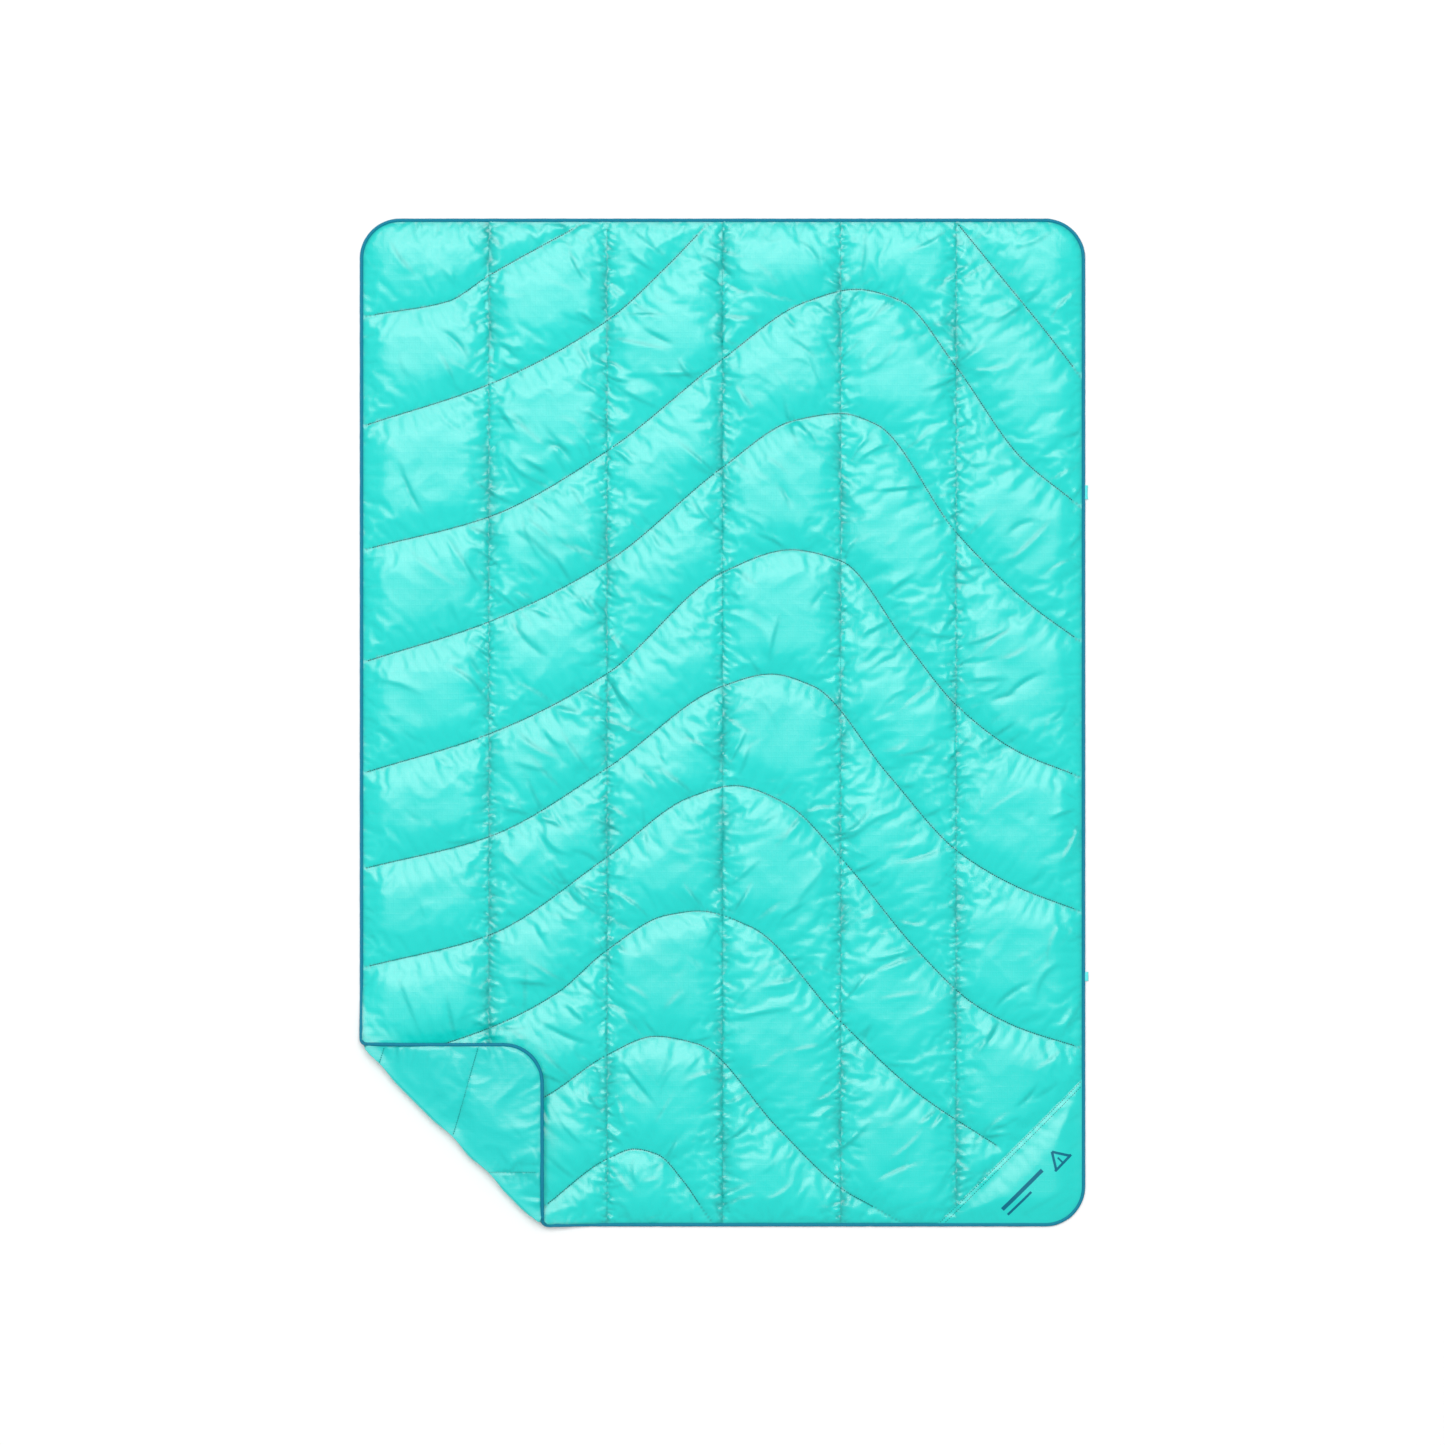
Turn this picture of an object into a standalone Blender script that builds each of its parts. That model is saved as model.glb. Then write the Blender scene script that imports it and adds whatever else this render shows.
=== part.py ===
"""Quilted camp blanket lying flat, with its front left corner turned back over the face.

Metres. +X is the width, +Y the length, +Z up. The underside rests on z = 0.
"""

import math

import bpy
import numpy as np
from mathutils import Vector
from mathutils.geometry import delaunay_2d_cdt

# Whole blanket, as it is with the corner opened flat
WIDTH = 1.320
LENGTH = 1.834
CORNER_RADIUS = 0.073

# Thickness
LOFT = 0.024
PATCH_LOFT = 0.018
SEAM_HEIGHT = 0.0035
CELL_SHOULDER = 0.050
FABRIC = 0.0006
GAP = 0.0003

# Folds
FOLD_GAP = 0.0006
FOLD_LEG = 0.336
HINGE_HEIGHT = LOFT + FOLD_GAP / 2

# Edge binding
BINDING_WIDTH = 0.006
BINDING_HEIGHT = 0.006
BINDING_BASE = 0.0003
BINDING_SIDES = 8

# Sewing thread, drawn as a cord with four sides
THREAD = 0.0010
THREAD_END_SETBACK = 0.009
FOLD_THREAD_SHIFT = 0.0012

# Webbing loops in the right edge: middle and width of each along Y
LOOPS = {"upper": (0.419, 0.025), "lower": (-0.462, 0.016)}
LOOP_REACH = 0.006
LOOP_WEBBING = 0.0008
LOOP_EYE = 0.0014

# Corner patch: leg of the triangle along the edges, and its two rows of stitches
PATCH_LEG = 0.266
PATCH_ROWS = (0.002, 0.009)

# Spacing of the points that the solids are built on
EDGE_STEP = 0.065
SEAM_STEP = 0.052
FILL_STEP = 0.062
FILL_CLEARANCE = 0.021
ARC_STEPS = 6

# The outermost loop is on the right, so the blanket sits this much to the left of the origin
CENTRE_X = -LOOP_REACH / 2
HALF_W = WIDTH / 2
HALF_L = LENGTH / 2

# Straight quilting seams along the length: distance of each from the middle
COLUMNS = (-0.425, -0.210, 0.0, 0.215, 0.425)

# Curved quilting seams: points each one passes through, from left to right, from the middle
WAVES = {
    "a": ((-0.633, 0.742), (-0.500, 0.766), (-0.425, 0.813), (-0.272, 0.898)),
    "b": ((-0.646, 0.542), (-0.425, 0.615), (-0.210, 0.731), (-0.103, 0.828), (-0.045, 0.888)),
    "c": (
        (-0.638, 0.318), (-0.425, 0.374), (-0.210, 0.494), (0.0, 0.661), (0.149, 0.764),
        (0.243, 0.788), (0.325, 0.767), (0.425, 0.647), (0.542, 0.483), (0.638, 0.403),
    ),
    "d": (
        (-0.646, 0.112), (-0.425, 0.183), (-0.210, 0.292), (0.0, 0.464), (0.130, 0.549),
        (0.215, 0.562), (0.280, 0.542), (0.425, 0.346), (0.560, 0.214), (0.642, 0.154),
    ),
    "e": (
        (-0.647, -0.090), (-0.425, -0.021), (-0.210, 0.089), (0.0, 0.273), (0.125, 0.314),
        (0.215, 0.294), (0.338, 0.139), (0.425, 0.032), (0.536, -0.052), (0.638, -0.094),
    ),
    "f": (
        (-0.649, -0.265), (-0.425, -0.208), (-0.210, -0.083), (0.0, 0.066), (0.088, 0.088),
        (0.165, 0.066), (0.301, -0.094), (0.425, -0.232), (0.536, -0.299), (0.642, -0.340),
    ),
    "g": (
        (-0.642, -0.443), (-0.425, -0.387), (-0.210, -0.245), (-0.059, -0.136), (0.021, -0.115),
        (0.116, -0.148), (0.215, -0.246), (0.356, -0.416), (0.456, -0.511), (0.536, -0.554),
        (0.643, -0.589),
    ),
    "h": (
        (-0.651, -0.627), (-0.425, -0.556), (-0.301, -0.492), (-0.210, -0.414), (-0.103, -0.351),
        (-0.043, -0.343), (0.052, -0.372), (0.215, -0.544), (0.356, -0.675), (0.498, -0.769),
    ),
    "i": (
        (-0.651, -0.798), (-0.425, -0.729), (-0.318, -0.678), (-0.210, -0.605), (-0.122, -0.571),
        (-0.045, -0.585), (0.103, -0.740), (0.215, -0.847), (0.276, -0.882),
    ),
    "j": (
        (-0.318, -0.875), (-0.210, -0.794), (-0.160, -0.776), (-0.120, -0.785), (-0.067, -0.840),
        (-0.041, -0.878),
    ),
    "z": ((0.429, 0.906), (0.496, 0.824), (0.581, 0.720), (0.638, 0.647)),
}

COLOURS = {
    "face_fabric": (0.07, 0.72, 0.66),
    "back_fabric": (0.04, 0.62, 0.58),
    "insulation": (0.85, 0.85, 0.82),
    "binding": (0.01, 0.20, 0.34),
    "column_thread": (0.10, 0.66, 0.62),
    "wave_thread": (0.05, 0.32, 0.32),
    "patch_fabric": (0.09, 0.70, 0.66),
    "webbing": (0.25, 0.80, 0.80),
}


def clear_scene():
    for obj in list(bpy.data.objects):
        bpy.data.objects.remove(obj, do_unlink=True)


def make_material(name):
    material = bpy.data.materials.new(name)
    material.use_nodes = True
    shader = material.node_tree.nodes["Principled BSDF"]
    shader.inputs["Base Color"].default_value = (*COLOURS[name], 1.0)
    shader.inputs["Roughness"].default_value = 0.5
    return material


def add_solid(name, points, faces, slot, body):
    """One closed mesh, given with the corner open, moved to rest with its body and set on its axis."""
    points = body.to_rest(np.asarray(points, float)) - body.axis_point
    mesh = bpy.data.meshes.new(name)
    mesh.from_pydata(points.tolist(), [], faces)
    mesh.materials.append(make_material(slot) if slot not in bpy.data.materials else bpy.data.materials[slot])
    mesh.polygons.foreach_set("use_smooth", [True] * len(mesh.polygons))
    mesh.set_sharp_from_angle(angle=math.radians(50))
    obj = bpy.data.objects.new(name, mesh)
    obj.location = Vector(body.axis_point)
    bpy.context.scene.collection.objects.link(obj)


class Body:
    """A part of the blanket that stays rigid: which side of the folds it has, and its rest position."""

    def __init__(self, contains, axis_point, turned_about=None):
        self.contains = contains
        self.axis_point = np.array(axis_point)
        self.turned_about = turned_about

    def to_rest(self, points):
        moved = points + np.array((CENTRE_X, 0.0, 0.0))
        if self.turned_about is None:
            return moved
        along = np.array(self.turned_about)
        offset = moved - self.axis_point
        return self.axis_point + 2 * np.outer(offset @ along, along) - offset


FOLD_SUM = -HALF_W - HALF_L + FOLD_LEG
FOLD_SIDE = FOLD_GAP / 2 * math.sqrt(2)
HALF_ROOT = math.sqrt(0.5)
FOLD_MIDDLE = (CENTRE_X - HALF_W + FOLD_LEG / 2, -HALF_L + FOLD_LEG / 2, HINGE_HEIGHT)

BODIES = {
    "left": Body(lambda x, y: (x < 0) & (x + y > FOLD_SUM), (0.0, 0.0, 0.0)),
    "right": Body(lambda x, y: x > 0, (CENTRE_X, 0.0, HINGE_HEIGHT)),
    "corner": Body(lambda x, y: x + y < FOLD_SUM, FOLD_MIDDLE, (HALF_ROOT, -HALF_ROOT, 0.0)),
}


def arc_lengths(points):
    return np.concatenate([[0.0], np.cumsum(np.linalg.norm(np.diff(points, axis=0), axis=1))])


def smooth_curve(knots, reach=0.06, steps=160):
    """A curve y(x) through the knots with no overshoot between them, run on straight past both ends."""
    x, y = np.array(knots).T
    widths = np.diff(x)
    slopes = np.diff(y) / widths
    tangents = np.zeros(len(x))
    for i in range(1, len(x) - 1):
        if slopes[i - 1] * slopes[i] > 0:
            before = 2 * widths[i] + widths[i - 1]
            after = widths[i] + 2 * widths[i - 1]
            tangents[i] = (before + after) / (before / slopes[i - 1] + after / slopes[i])
    tangents[0] = slopes[0]
    tangents[-1] = slopes[-1]
    at = np.linspace(x[0], x[-1], steps)
    k = np.clip(np.searchsorted(x, at) - 1, 0, len(widths) - 1)
    t = (at - x[k]) / widths[k]
    up = (
        (1 + 2 * t) * (1 - t) ** 2 * y[k]
        + t * (1 - t) ** 2 * widths[k] * tangents[k]
        + t * t * (3 - 2 * t) * y[k + 1]
        + t * t * (t - 1) * widths[k] * tangents[k + 1]
    )
    inner = np.column_stack([at, up])
    first = inner[0] - reach * np.array((1.0, tangents[0])) / math.hypot(1.0, tangents[0])
    last = inner[-1] + reach * np.array((1.0, tangents[-1])) / math.hypot(1.0, tangents[-1])
    return np.vstack([first, inner, last])


def rounded_outline(inset, arc_steps):
    """Anticlockwise outline this far inside the edge, beginning at the right end of the bottom side."""
    radius = CORNER_RADIUS - inset
    x = HALF_W - CORNER_RADIUS
    y = HALF_L - CORNER_RADIUS
    points = []
    for quarter, (cx, cy) in enumerate(((x, -y), (x, y), (-x, y), (-x, -y))):
        for step in range(arc_steps + 1):
            angle = math.radians(90 * (quarter - 1 + step / arc_steps))
            points.append((cx + radius * math.cos(angle), cy + radius * math.sin(angle)))
    return np.array(points + points[:1])


def crossings(curve, other):
    """Each crossing of two polylines, as (place along the first, point)."""
    a, b = curve[:-1, None], np.diff(curve, axis=0)[:, None]
    c, d = other[None, :-1], np.diff(other, axis=0)[None]
    turn = b[..., 0] * d[..., 1] - b[..., 1] * d[..., 0]
    level = np.abs(turn) < 1e-12
    turn = np.where(level, 1.0, turn)
    offset = c - a
    t = (offset[..., 0] * d[..., 1] - offset[..., 1] * d[..., 0]) / turn
    u = (offset[..., 0] * b[..., 1] - offset[..., 1] * b[..., 0]) / turn
    i, j = np.nonzero(~level & (t >= 0) & (t < 1) & (u >= 0) & (u < 1))
    places = i + t[i, j]
    return [(place, point) for place, point in zip(places, curve[i] + t[i, j][:, None] * b[i, 0])]


def at_place(curve, place):
    i = min(int(place), len(curve) - 2)
    return curve[i] + (place - i) * (curve[i + 1] - curve[i])


def trimmed(curve, limits):
    """The longest run of the curve between its crossings with the limits."""
    cuts = sorted((cut for limit in limits for cut in crossings(curve, limit)), key=lambda cut: cut[0])
    runs = [(cuts[k + 1][0] - cuts[k][0], k) for k in range(len(cuts) - 1)]
    k = max(runs)[1]
    start, end = cuts[k], cuts[k + 1]
    inside = curve[math.floor(start[0]) + 1 : math.ceil(end[0])]
    return np.vstack([start[1], inside, end[1]])


def resampled(curve, others, step):
    """The curve as few points: its ends, its crossings with the others, and even steps between them."""
    last = float(len(curve) - 1)
    cuts = [(0.0, curve[0]), (last, curve[-1])]
    for other in others:
        cuts += [cut for cut in crossings(curve, other) if 1e-6 < cut[0] < last - 1e-6]
        for end in (other[0], other[-1]):
            near = np.linalg.norm(curve - end, axis=1)
            if near.min() < 1e-6:
                cuts.append((float(near.argmin()), end))
    cuts.sort(key=lambda cut: cut[0])
    lengths = arc_lengths(curve)
    points = [cuts[0][1]]
    for (start, _), (end, point) in zip(cuts, cuts[1:]):
        ends = np.interp((start, end), range(len(curve)), lengths)
        if ends[1] - ends[0] < 1e-5:
            continue
        count = max(1, round((ends[1] - ends[0]) / step))
        for k in range(1, count):
            place = np.interp(ends[0] + (ends[1] - ends[0]) * k / count, lengths, range(len(curve)))
            points.append(at_place(curve, place))
        points.append(point)
    return np.array(points)


def distance_to(curves, points):
    """Shortest distance from each point to any of the polylines."""
    best = np.full(len(points), np.inf)
    for curve in curves:
        for start, end in zip(curve, curve[1:]):
            along = end - start
            t = np.clip((points - start) @ along / (along @ along), 0, 1)
            away = np.linalg.norm(points - start - t[:, None] * along, axis=1)
            best = np.minimum(best, away)
    return best


def straight(start, end, pieces=40):
    return np.linspace(start, end, pieces + 1)


def patch_line(depth):
    """A diagonal across the front right corner, this far inside the patch's long edge."""
    leg = PATCH_LEG - depth * math.sqrt(2)
    return straight((HALF_W - leg - 0.02, -HALF_L - 0.02), (HALF_W + 0.02, -HALF_L + leg + 0.02))


def lay_out():
    """Every line that the quilt's solids share, in the plane, with the corner open."""
    rim = rounded_outline(BINDING_WIDTH + GAP, ARC_STEPS)
    edge = np.vstack([straight(a, b, 8)[:-1] for a, b in zip(rim, rim[1:])] + [rim[:1]])
    fold = straight((-HALF_W - 0.02, FOLD_SUM + HALF_W + 0.02), (FOLD_SUM + HALF_L + 0.02, -HALF_L - 0.02))
    fold = trimmed(fold, [edge])
    patch_rows = [trimmed(patch_line(depth), [edge]) for depth in (0.0, *PATCH_ROWS)]
    columns = [
        trimmed(straight((x, -HALF_L), (x, HALF_L), 60), [edge, patch_rows[0]]) for x in COLUMNS
    ]
    limits = {"h": [edge, patch_rows[0]], "j": [edge, fold]}
    waves = {
        name: trimmed(smooth_curve(knots), limits.get(name, [edge])) for name, knots in WAVES.items()
    }
    return edge, fold, patch_rows, columns, waves


def quilt_plan(edge, fold, patch_rows, columns, waves):
    """The lines resampled to share their crossings, and the triangles that fill the blanket between them."""
    curves = {"edge": edge, "fold": fold}
    curves.update({f"patch_{i}": row for i, row in enumerate(patch_rows)})
    curves.update({f"column_{i + 1}": column for i, column in enumerate(columns)})
    curves.update({f"wave_{name}": wave for name, wave in waves.items()})
    lines = {}
    for name, curve in curves.items():
        others = [other for key, other in curves.items() if key != name]
        lines[name] = resampled(curve, others, EDGE_STEP if name == "edge" else SEAM_STEP)
    seams = [line for name, line in lines.items() if name not in ("edge", "fold")]
    points, sides = [], []
    for line in [lines["edge"][:-1], *seams, lines["fold"]]:
        first = len(points)
        points += [tuple(p) for p in line]
        sides += [(first + k, first + k + 1) for k in range(len(line) - 1)]
    ring = list(range(len(lines["edge"]) - 1))
    rows = np.arange(-HALF_L, HALF_L, FILL_STEP * math.sqrt(0.75))
    grid = np.array([
        (x + FILL_STEP / 2 * (k % 2), y)
        for k, y in enumerate(rows)
        for x in np.arange(-HALF_W, HALF_W, FILL_STEP)
    ])
    clear = distance_to(list(lines.values()), grid) > FILL_CLEARANCE
    inside = (np.abs(grid[:, 0]) < HALF_W - 0.02) & (np.abs(grid[:, 1]) < HALF_L - 0.02)
    corner = np.hypot(*np.maximum(np.abs(grid) - (HALF_W - CORNER_RADIUS, HALF_L - CORNER_RADIUS), 0).T)
    points += [tuple(p) for p in grid[clear & inside & (corner < CORNER_RADIUS - 0.02)]]
    flat, _, triangles, *_ = delaunay_2d_cdt(
        [Vector(p) for p in points], sides + [(ring[-1], ring[0])], [ring], 1, 1e-5
    )
    flat = np.array([tuple(p) for p in flat])
    low = distance_to([lines["edge"], *seams], flat)
    in_patch = flat[:, 0] - flat[:, 1] > HALF_W + HALF_L - PATCH_LEG
    crown = np.where(in_patch, PATCH_LOFT, LOFT)
    shoulder = np.sin(np.minimum(low / CELL_SHOULDER, 1.0) * math.pi / 2)
    heights = SEAM_HEIGHT + (crown - SEAM_HEIGHT) * shoulder
    return lines, flat, np.array(triangles), heights


def pulled_off_folds(flat, body_name):
    """The points with those on a fold drawn back to this body's side of it."""
    moved = flat.copy()
    on_middle = np.abs(flat[:, 0]) < 1e-6
    on_fold = np.abs(flat.sum(axis=1) - FOLD_SUM) < 1e-6
    sign = {"left": -1, "right": 1, "corner": 0}[body_name]
    moved[on_middle, 0] += sign * FOLD_GAP / 2
    moved[on_fold] += (-1 if body_name == "corner" else 1) * FOLD_SIDE / 2
    return moved


def boundary_loop(triangles):
    """The one loop of edges that belong to a single triangle, in order."""
    ends = {}
    counted = {}
    for triangle in triangles:
        for a, b in zip(triangle, np.roll(triangle, -1)):
            key = (min(a, b), max(a, b))
            counted[key] = counted.get(key, 0) + 1
            ends[(a, b)] = key
    following = {a: b for (a, b), key in ends.items() if counted[key] == 1}
    start = next(iter(following))
    loop = [start]
    while following[loop[-1]] != start:
        loop.append(following[loop[-1]])
    return loop


def add_layer(name, flat, triangles, low, high, slot, body):
    """A sheet between two heights. A height given as one number makes that side a single flat face."""
    used, local = np.unique(triangles, return_inverse=True)
    local = local.reshape(triangles.shape)
    loop = boundary_loop(local)
    points = []
    faces = []
    rims = []
    for side, height in enumerate((low, high)):
        first = len(points)
        if np.ndim(height) == 0:
            points += [(*flat[used[k]], height) for k in loop]
            face = list(range(first, first + len(loop)))
            faces.append(face if side else face[::-1])
            rims.append(face)
        else:
            points += [(*flat[k], height[k]) for k in used]
            faces += [[first + k for k in (t if side else t[::-1])] for t in local.tolist()]
            rims.append([first + k for k in loop])
    below, above = rims
    count = len(loop)
    faces += [[below[k], below[(k + 1) % count], above[(k + 1) % count], above[k]] for k in range(count)]
    add_solid(name, points, faces, slot, body)


def add_cord(name, path, heights, half_w, half_h, sides, slot, body, end_cuts=(None, None)):
    """A cord along a path in the plane, with mitred turns. An end cut is the direction of its end face."""
    path = np.asarray(path)
    steps = np.diff(path, axis=0)
    steps /= np.linalg.norm(steps, axis=1)[:, None]
    points = []
    for k, (x, y) in enumerate(path):
        before = steps[max(k - 1, 0)]
        after = steps[min(k, len(steps) - 1)]
        normal = np.array((-before[1], before[0]))
        across = np.array((-before[1] - after[1], before[0] + after[0]))
        if k == 0 and end_cuts[0] is not None:
            across = np.array(end_cuts[0])
        if k == len(path) - 1 and end_cuts[1] is not None:
            across = np.array(end_cuts[1])
        across = across / (across @ normal)
        for side in range(sides):
            angle = 2 * math.pi * (side + (0.5 if sides > 4 else 0.0)) / sides
            reach = 1 / math.cos(math.pi / sides) if sides > 4 else 1.0
            out = half_w * reach * math.cos(angle)
            up = half_h * reach * math.sin(angle)
            points.append((x + across[0] * out, y + across[1] * out, heights[k] + up))
    faces = [list(range(sides))[::-1], list(range(len(points) - sides, len(points)))]
    for k in range(len(path) - 1):
        for side in range(sides):
            near, far = k * sides + side, k * sides + (side + 1) % sides
            faces.append([near, far, far + sides, near + sides])
    add_solid(name, points, faces, slot, body)


def set_back(path, heights, start, end):
    """The path shortened at its ends, each by its own length."""
    lengths = arc_lengths(path)
    inner = (lengths > start + 1e-6) & (lengths < lengths[-1] - end - 1e-6)
    at = np.concatenate([[start], lengths[inner], [lengths[-1] - end]])
    moved = [np.interp(at, lengths, values) for values in (path[:, 0], path[:, 1], heights)]
    return np.column_stack(moved[:2]), moved[2]


def add_thread(name, line, lift, slot, body_name, setbacks):
    path, heights = set_back(line, SEAM_HEIGHT + GAP + THREAD / 2 + lift, *setbacks)
    body = BODIES[body_name]
    add_cord(name, path, heights, THREAD / 2, THREAD / 2, 4, slot, body)


def split_line(line):
    """The line's runs on each body, as (body name, points, whether each end is on a fold)."""
    runs = []
    middles = (line[1:] + line[:-1]) / 2
    owner = [next(n for n, b in BODIES.items() if b.contains(x, y)) for x, y in middles]
    start = 0
    for k in range(1, len(owner) + 1):
        if k == len(owner) or owner[k] != owner[start]:
            runs.append((owner[start], line[start : k + 1], (start > 0, k < len(owner))))
            start = k
    return runs


def add_column_threads(lines):
    """A thread in each straight seam. The one in the lengthwise fold belongs to the left half."""
    for i, x in enumerate(COLUMNS):
        name = f"column_{i + 1}"
        if x == 0:
            line = lines[name] - (FOLD_THREAD_SHIFT, 0)
            add_thread(
                f"seam_{name}", line, np.full(len(line), THREAD + GAP), "column_thread", "left",
                (THREAD_END_SETBACK, THREAD_END_SETBACK),
            )
            continue
        for owner, run, folded in split_line(lines[name]):
            suffix = "_corner" if owner == "corner" else ""
            setbacks = [2 * THREAD if f else THREAD_END_SETBACK for f in folded]
            add_thread(
                f"seam_{name}{suffix}", run, np.zeros(len(run)), "column_thread", owner, setbacks
            )


def add_wave_threads(lines):
    """A thread in each curved seam, cut at the folds, and lifted over every straight seam it crosses."""
    for name in WAVES:
        for owner, run, folded in split_line(lines[f"wave_{name}"]):
            nearest = np.min(np.abs(run[:, :1] - np.array(COLUMNS)), axis=1)
            lift = np.where(nearest < 1e-6, THREAD + GAP, 0.0)
            lift[np.abs(run[:, 0]) < 1e-6] = 2 * (THREAD + GAP) + GAP
            setbacks = [2 * THREAD if f else THREAD_END_SETBACK for f in folded]
            middle = np.abs(run[[0, -1], 0]) < 1e-6
            setbacks = [FOLD_GAP if m else s for m, s in zip(middle, setbacks)]
            add_thread(f"seam_wave_{name}_{owner}", run, lift, "wave_thread", owner, setbacks)


def binding_path():
    """The middle line of the binding, cut at the folds, as (name, body, points, end cuts)."""
    middle = rounded_outline(BINDING_WIDTH / 2, ARC_STEPS + 2)[:-1]
    inner = BINDING_WIDTH / 2
    bottom, left = -HALF_L + inner, -HALF_W + inner
    top = HALF_L - inner
    per_corner = ARC_STEPS + 3
    right_arcs = middle[: 2 * per_corner]
    top_left = middle[2 * per_corner : 3 * per_corner]
    bottom_left = middle[3 * per_corner :]
    across = (-HALF_ROOT, HALF_ROOT)
    reach = FOLD_GAP / 2
    fold_left = np.array((left, FOLD_SUM - left))
    fold_bottom = np.array((FOLD_SUM - bottom, bottom))
    return (
        (
            "right", "right",
            np.vstack([(reach, bottom), right_arcs, (reach, top)]),
            (None, None),
        ),
        (
            "left", "left",
            np.vstack([(-reach, top), top_left, fold_left + (0, FOLD_SIDE)]),
            (None, across),
        ),
        (
            "corner", "corner",
            np.vstack([fold_left - (0, FOLD_SIDE), bottom_left, fold_bottom - (FOLD_SIDE, 0)]),
            (across, across),
        ),
        (
            "front_left", "left",
            np.vstack([fold_bottom + (FOLD_SIDE, 0), (-reach, bottom)]),
            (across, None),
        ),
    )


def add_bindings():
    for name, owner, path, cuts in binding_path():
        heights = np.full(len(path), BINDING_BASE + BINDING_HEIGHT / 2)
        half_w, half_h = BINDING_WIDTH / 2, BINDING_HEIGHT / 2
        add_cord(
            f"binding_{name}", path, heights, half_w, half_h, BINDING_SIDES, "binding", BODIES[owner], cuts
        )


def add_loops():
    """Webbing folded in two, both ends at the binding, with an eye between its layers."""
    start = HALF_W + GAP
    end = HALF_W + LOOP_REACH
    middle = BINDING_BASE + BINDING_HEIGHT / 2
    outer = LOOP_EYE / 2 + LOOP_WEBBING
    profile = (
        (start, -outer), (end, -outer), (end, outer), (start, outer),
        (start, LOOP_EYE / 2), (end - LOOP_WEBBING, LOOP_EYE / 2),
        (end - LOOP_WEBBING, -LOOP_EYE / 2), (start, -LOOP_EYE / 2),
    )
    count = len(profile)
    for name, (y, width) in LOOPS.items():
        points = [
            (x, y + side * width / 2, middle + z) for side in (-1, 1) for x, z in profile
        ]
        faces = [list(range(count)), list(range(2 * count - 1, count - 1, -1))]
        faces += [[k, k + count, (k + 1) % count + count, (k + 1) % count] for k in range(count)]
        add_solid(f"edge_loop_{name}", points, faces, "webbing", BODIES["right"])


def add_patch(lines, flat, triangles, heights):
    """The patch over the front right corner, and its two rows of stitches."""
    centres = flat[triangles].mean(axis=1)
    chosen = triangles[centres[:, 0] - centres[:, 1] > HALF_W + HALF_L - PATCH_LEG]
    add_layer(
        "corner_patch", flat, chosen, heights + GAP, heights + GAP + FABRIC, "patch_fabric", BODIES["right"]
    )
    for i, name in ((1, "outer"), (2, "inner")):
        line = lines[f"patch_{i}"]
        add_thread(
            f"patch_stitch_{name}", line, np.full(len(line), GAP + FABRIC), "wave_thread", "right",
            (THREAD_END_SETBACK, THREAD_END_SETBACK),
        )


def main():
    clear_scene()
    lines, flat, triangles, heights = quilt_plan(*lay_out())
    centres = flat[triangles].mean(axis=1)
    for owner, body in BODIES.items():
        moved = pulled_off_folds(flat, owner)
        chosen = triangles[body.contains(centres[:, 0], centres[:, 1])]
        base = FABRIC + GAP
        add_layer(f"back_shell_{owner}", moved, chosen, 0.0, FABRIC, "back_fabric", body)
        add_layer(f"insulation_{owner}", moved, chosen, base, heights - base, "insulation", body)
        add_layer(f"face_shell_{owner}", moved, chosen, heights - FABRIC, heights, "face_fabric", body)
    add_patch(lines, flat, triangles, heights)
    add_column_threads(lines)
    add_wave_threads(lines)
    add_bindings()
    add_loops()


main()
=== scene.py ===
"""Visual model of a quilted camp blanket with one corner turned back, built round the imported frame."""

import math

import bpy
import numpy as np
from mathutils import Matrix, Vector
from mathutils.bvhtree import BVHTree
from mathutils.geometry import delaunay_2d_cdt
from mathutils.kdtree import KDTree


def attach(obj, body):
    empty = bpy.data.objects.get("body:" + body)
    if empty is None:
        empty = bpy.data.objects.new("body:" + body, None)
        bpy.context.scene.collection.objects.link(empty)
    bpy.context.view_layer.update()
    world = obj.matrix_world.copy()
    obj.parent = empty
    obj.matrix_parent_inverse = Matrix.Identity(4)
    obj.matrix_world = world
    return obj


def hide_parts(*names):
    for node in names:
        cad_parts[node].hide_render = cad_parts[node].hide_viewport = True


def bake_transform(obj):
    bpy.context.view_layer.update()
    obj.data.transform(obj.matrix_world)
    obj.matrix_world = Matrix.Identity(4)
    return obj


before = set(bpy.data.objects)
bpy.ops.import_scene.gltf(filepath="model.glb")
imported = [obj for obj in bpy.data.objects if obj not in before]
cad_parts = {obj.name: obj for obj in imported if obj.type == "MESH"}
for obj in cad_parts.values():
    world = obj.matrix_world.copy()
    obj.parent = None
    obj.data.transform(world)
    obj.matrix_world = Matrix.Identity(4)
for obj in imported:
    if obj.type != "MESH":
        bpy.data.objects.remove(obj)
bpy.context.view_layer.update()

# Sizes of the blanket, as in the frame
WIDTH, LENGTH = 1.320, 1.834
CORNER_RADIUS = 0.073
HALF_W, HALF_L = WIDTH / 2, LENGTH / 2
CENTRE_X = -0.003
HINGE_Z = 0.0243
FOLD_LEG = 0.336
FOLD_SUM = -HALF_W - HALF_L + FOLD_LEG
PATCH_LEG = 0.274
ROOT = math.sqrt(2.0)

# Heights of the cloth, with the corner open
SEAM_Z = 0.0075
EDGE_Z = 0.0042
EDGE_RISE = 0.055
CLOTH_HALF = 0.0004
CROWN = 0.0160
PATCH_CROWN = 0.0090
BACK_DEPTH = 0.0066
FOLD_BACK_Z = 0.0140
FOLD_FACE_Z = 0.0240
FOLD_MIDDLE_Z = (FOLD_BACK_Z + FOLD_FACE_Z) / 2
FOLD_REACH = 0.022

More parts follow.
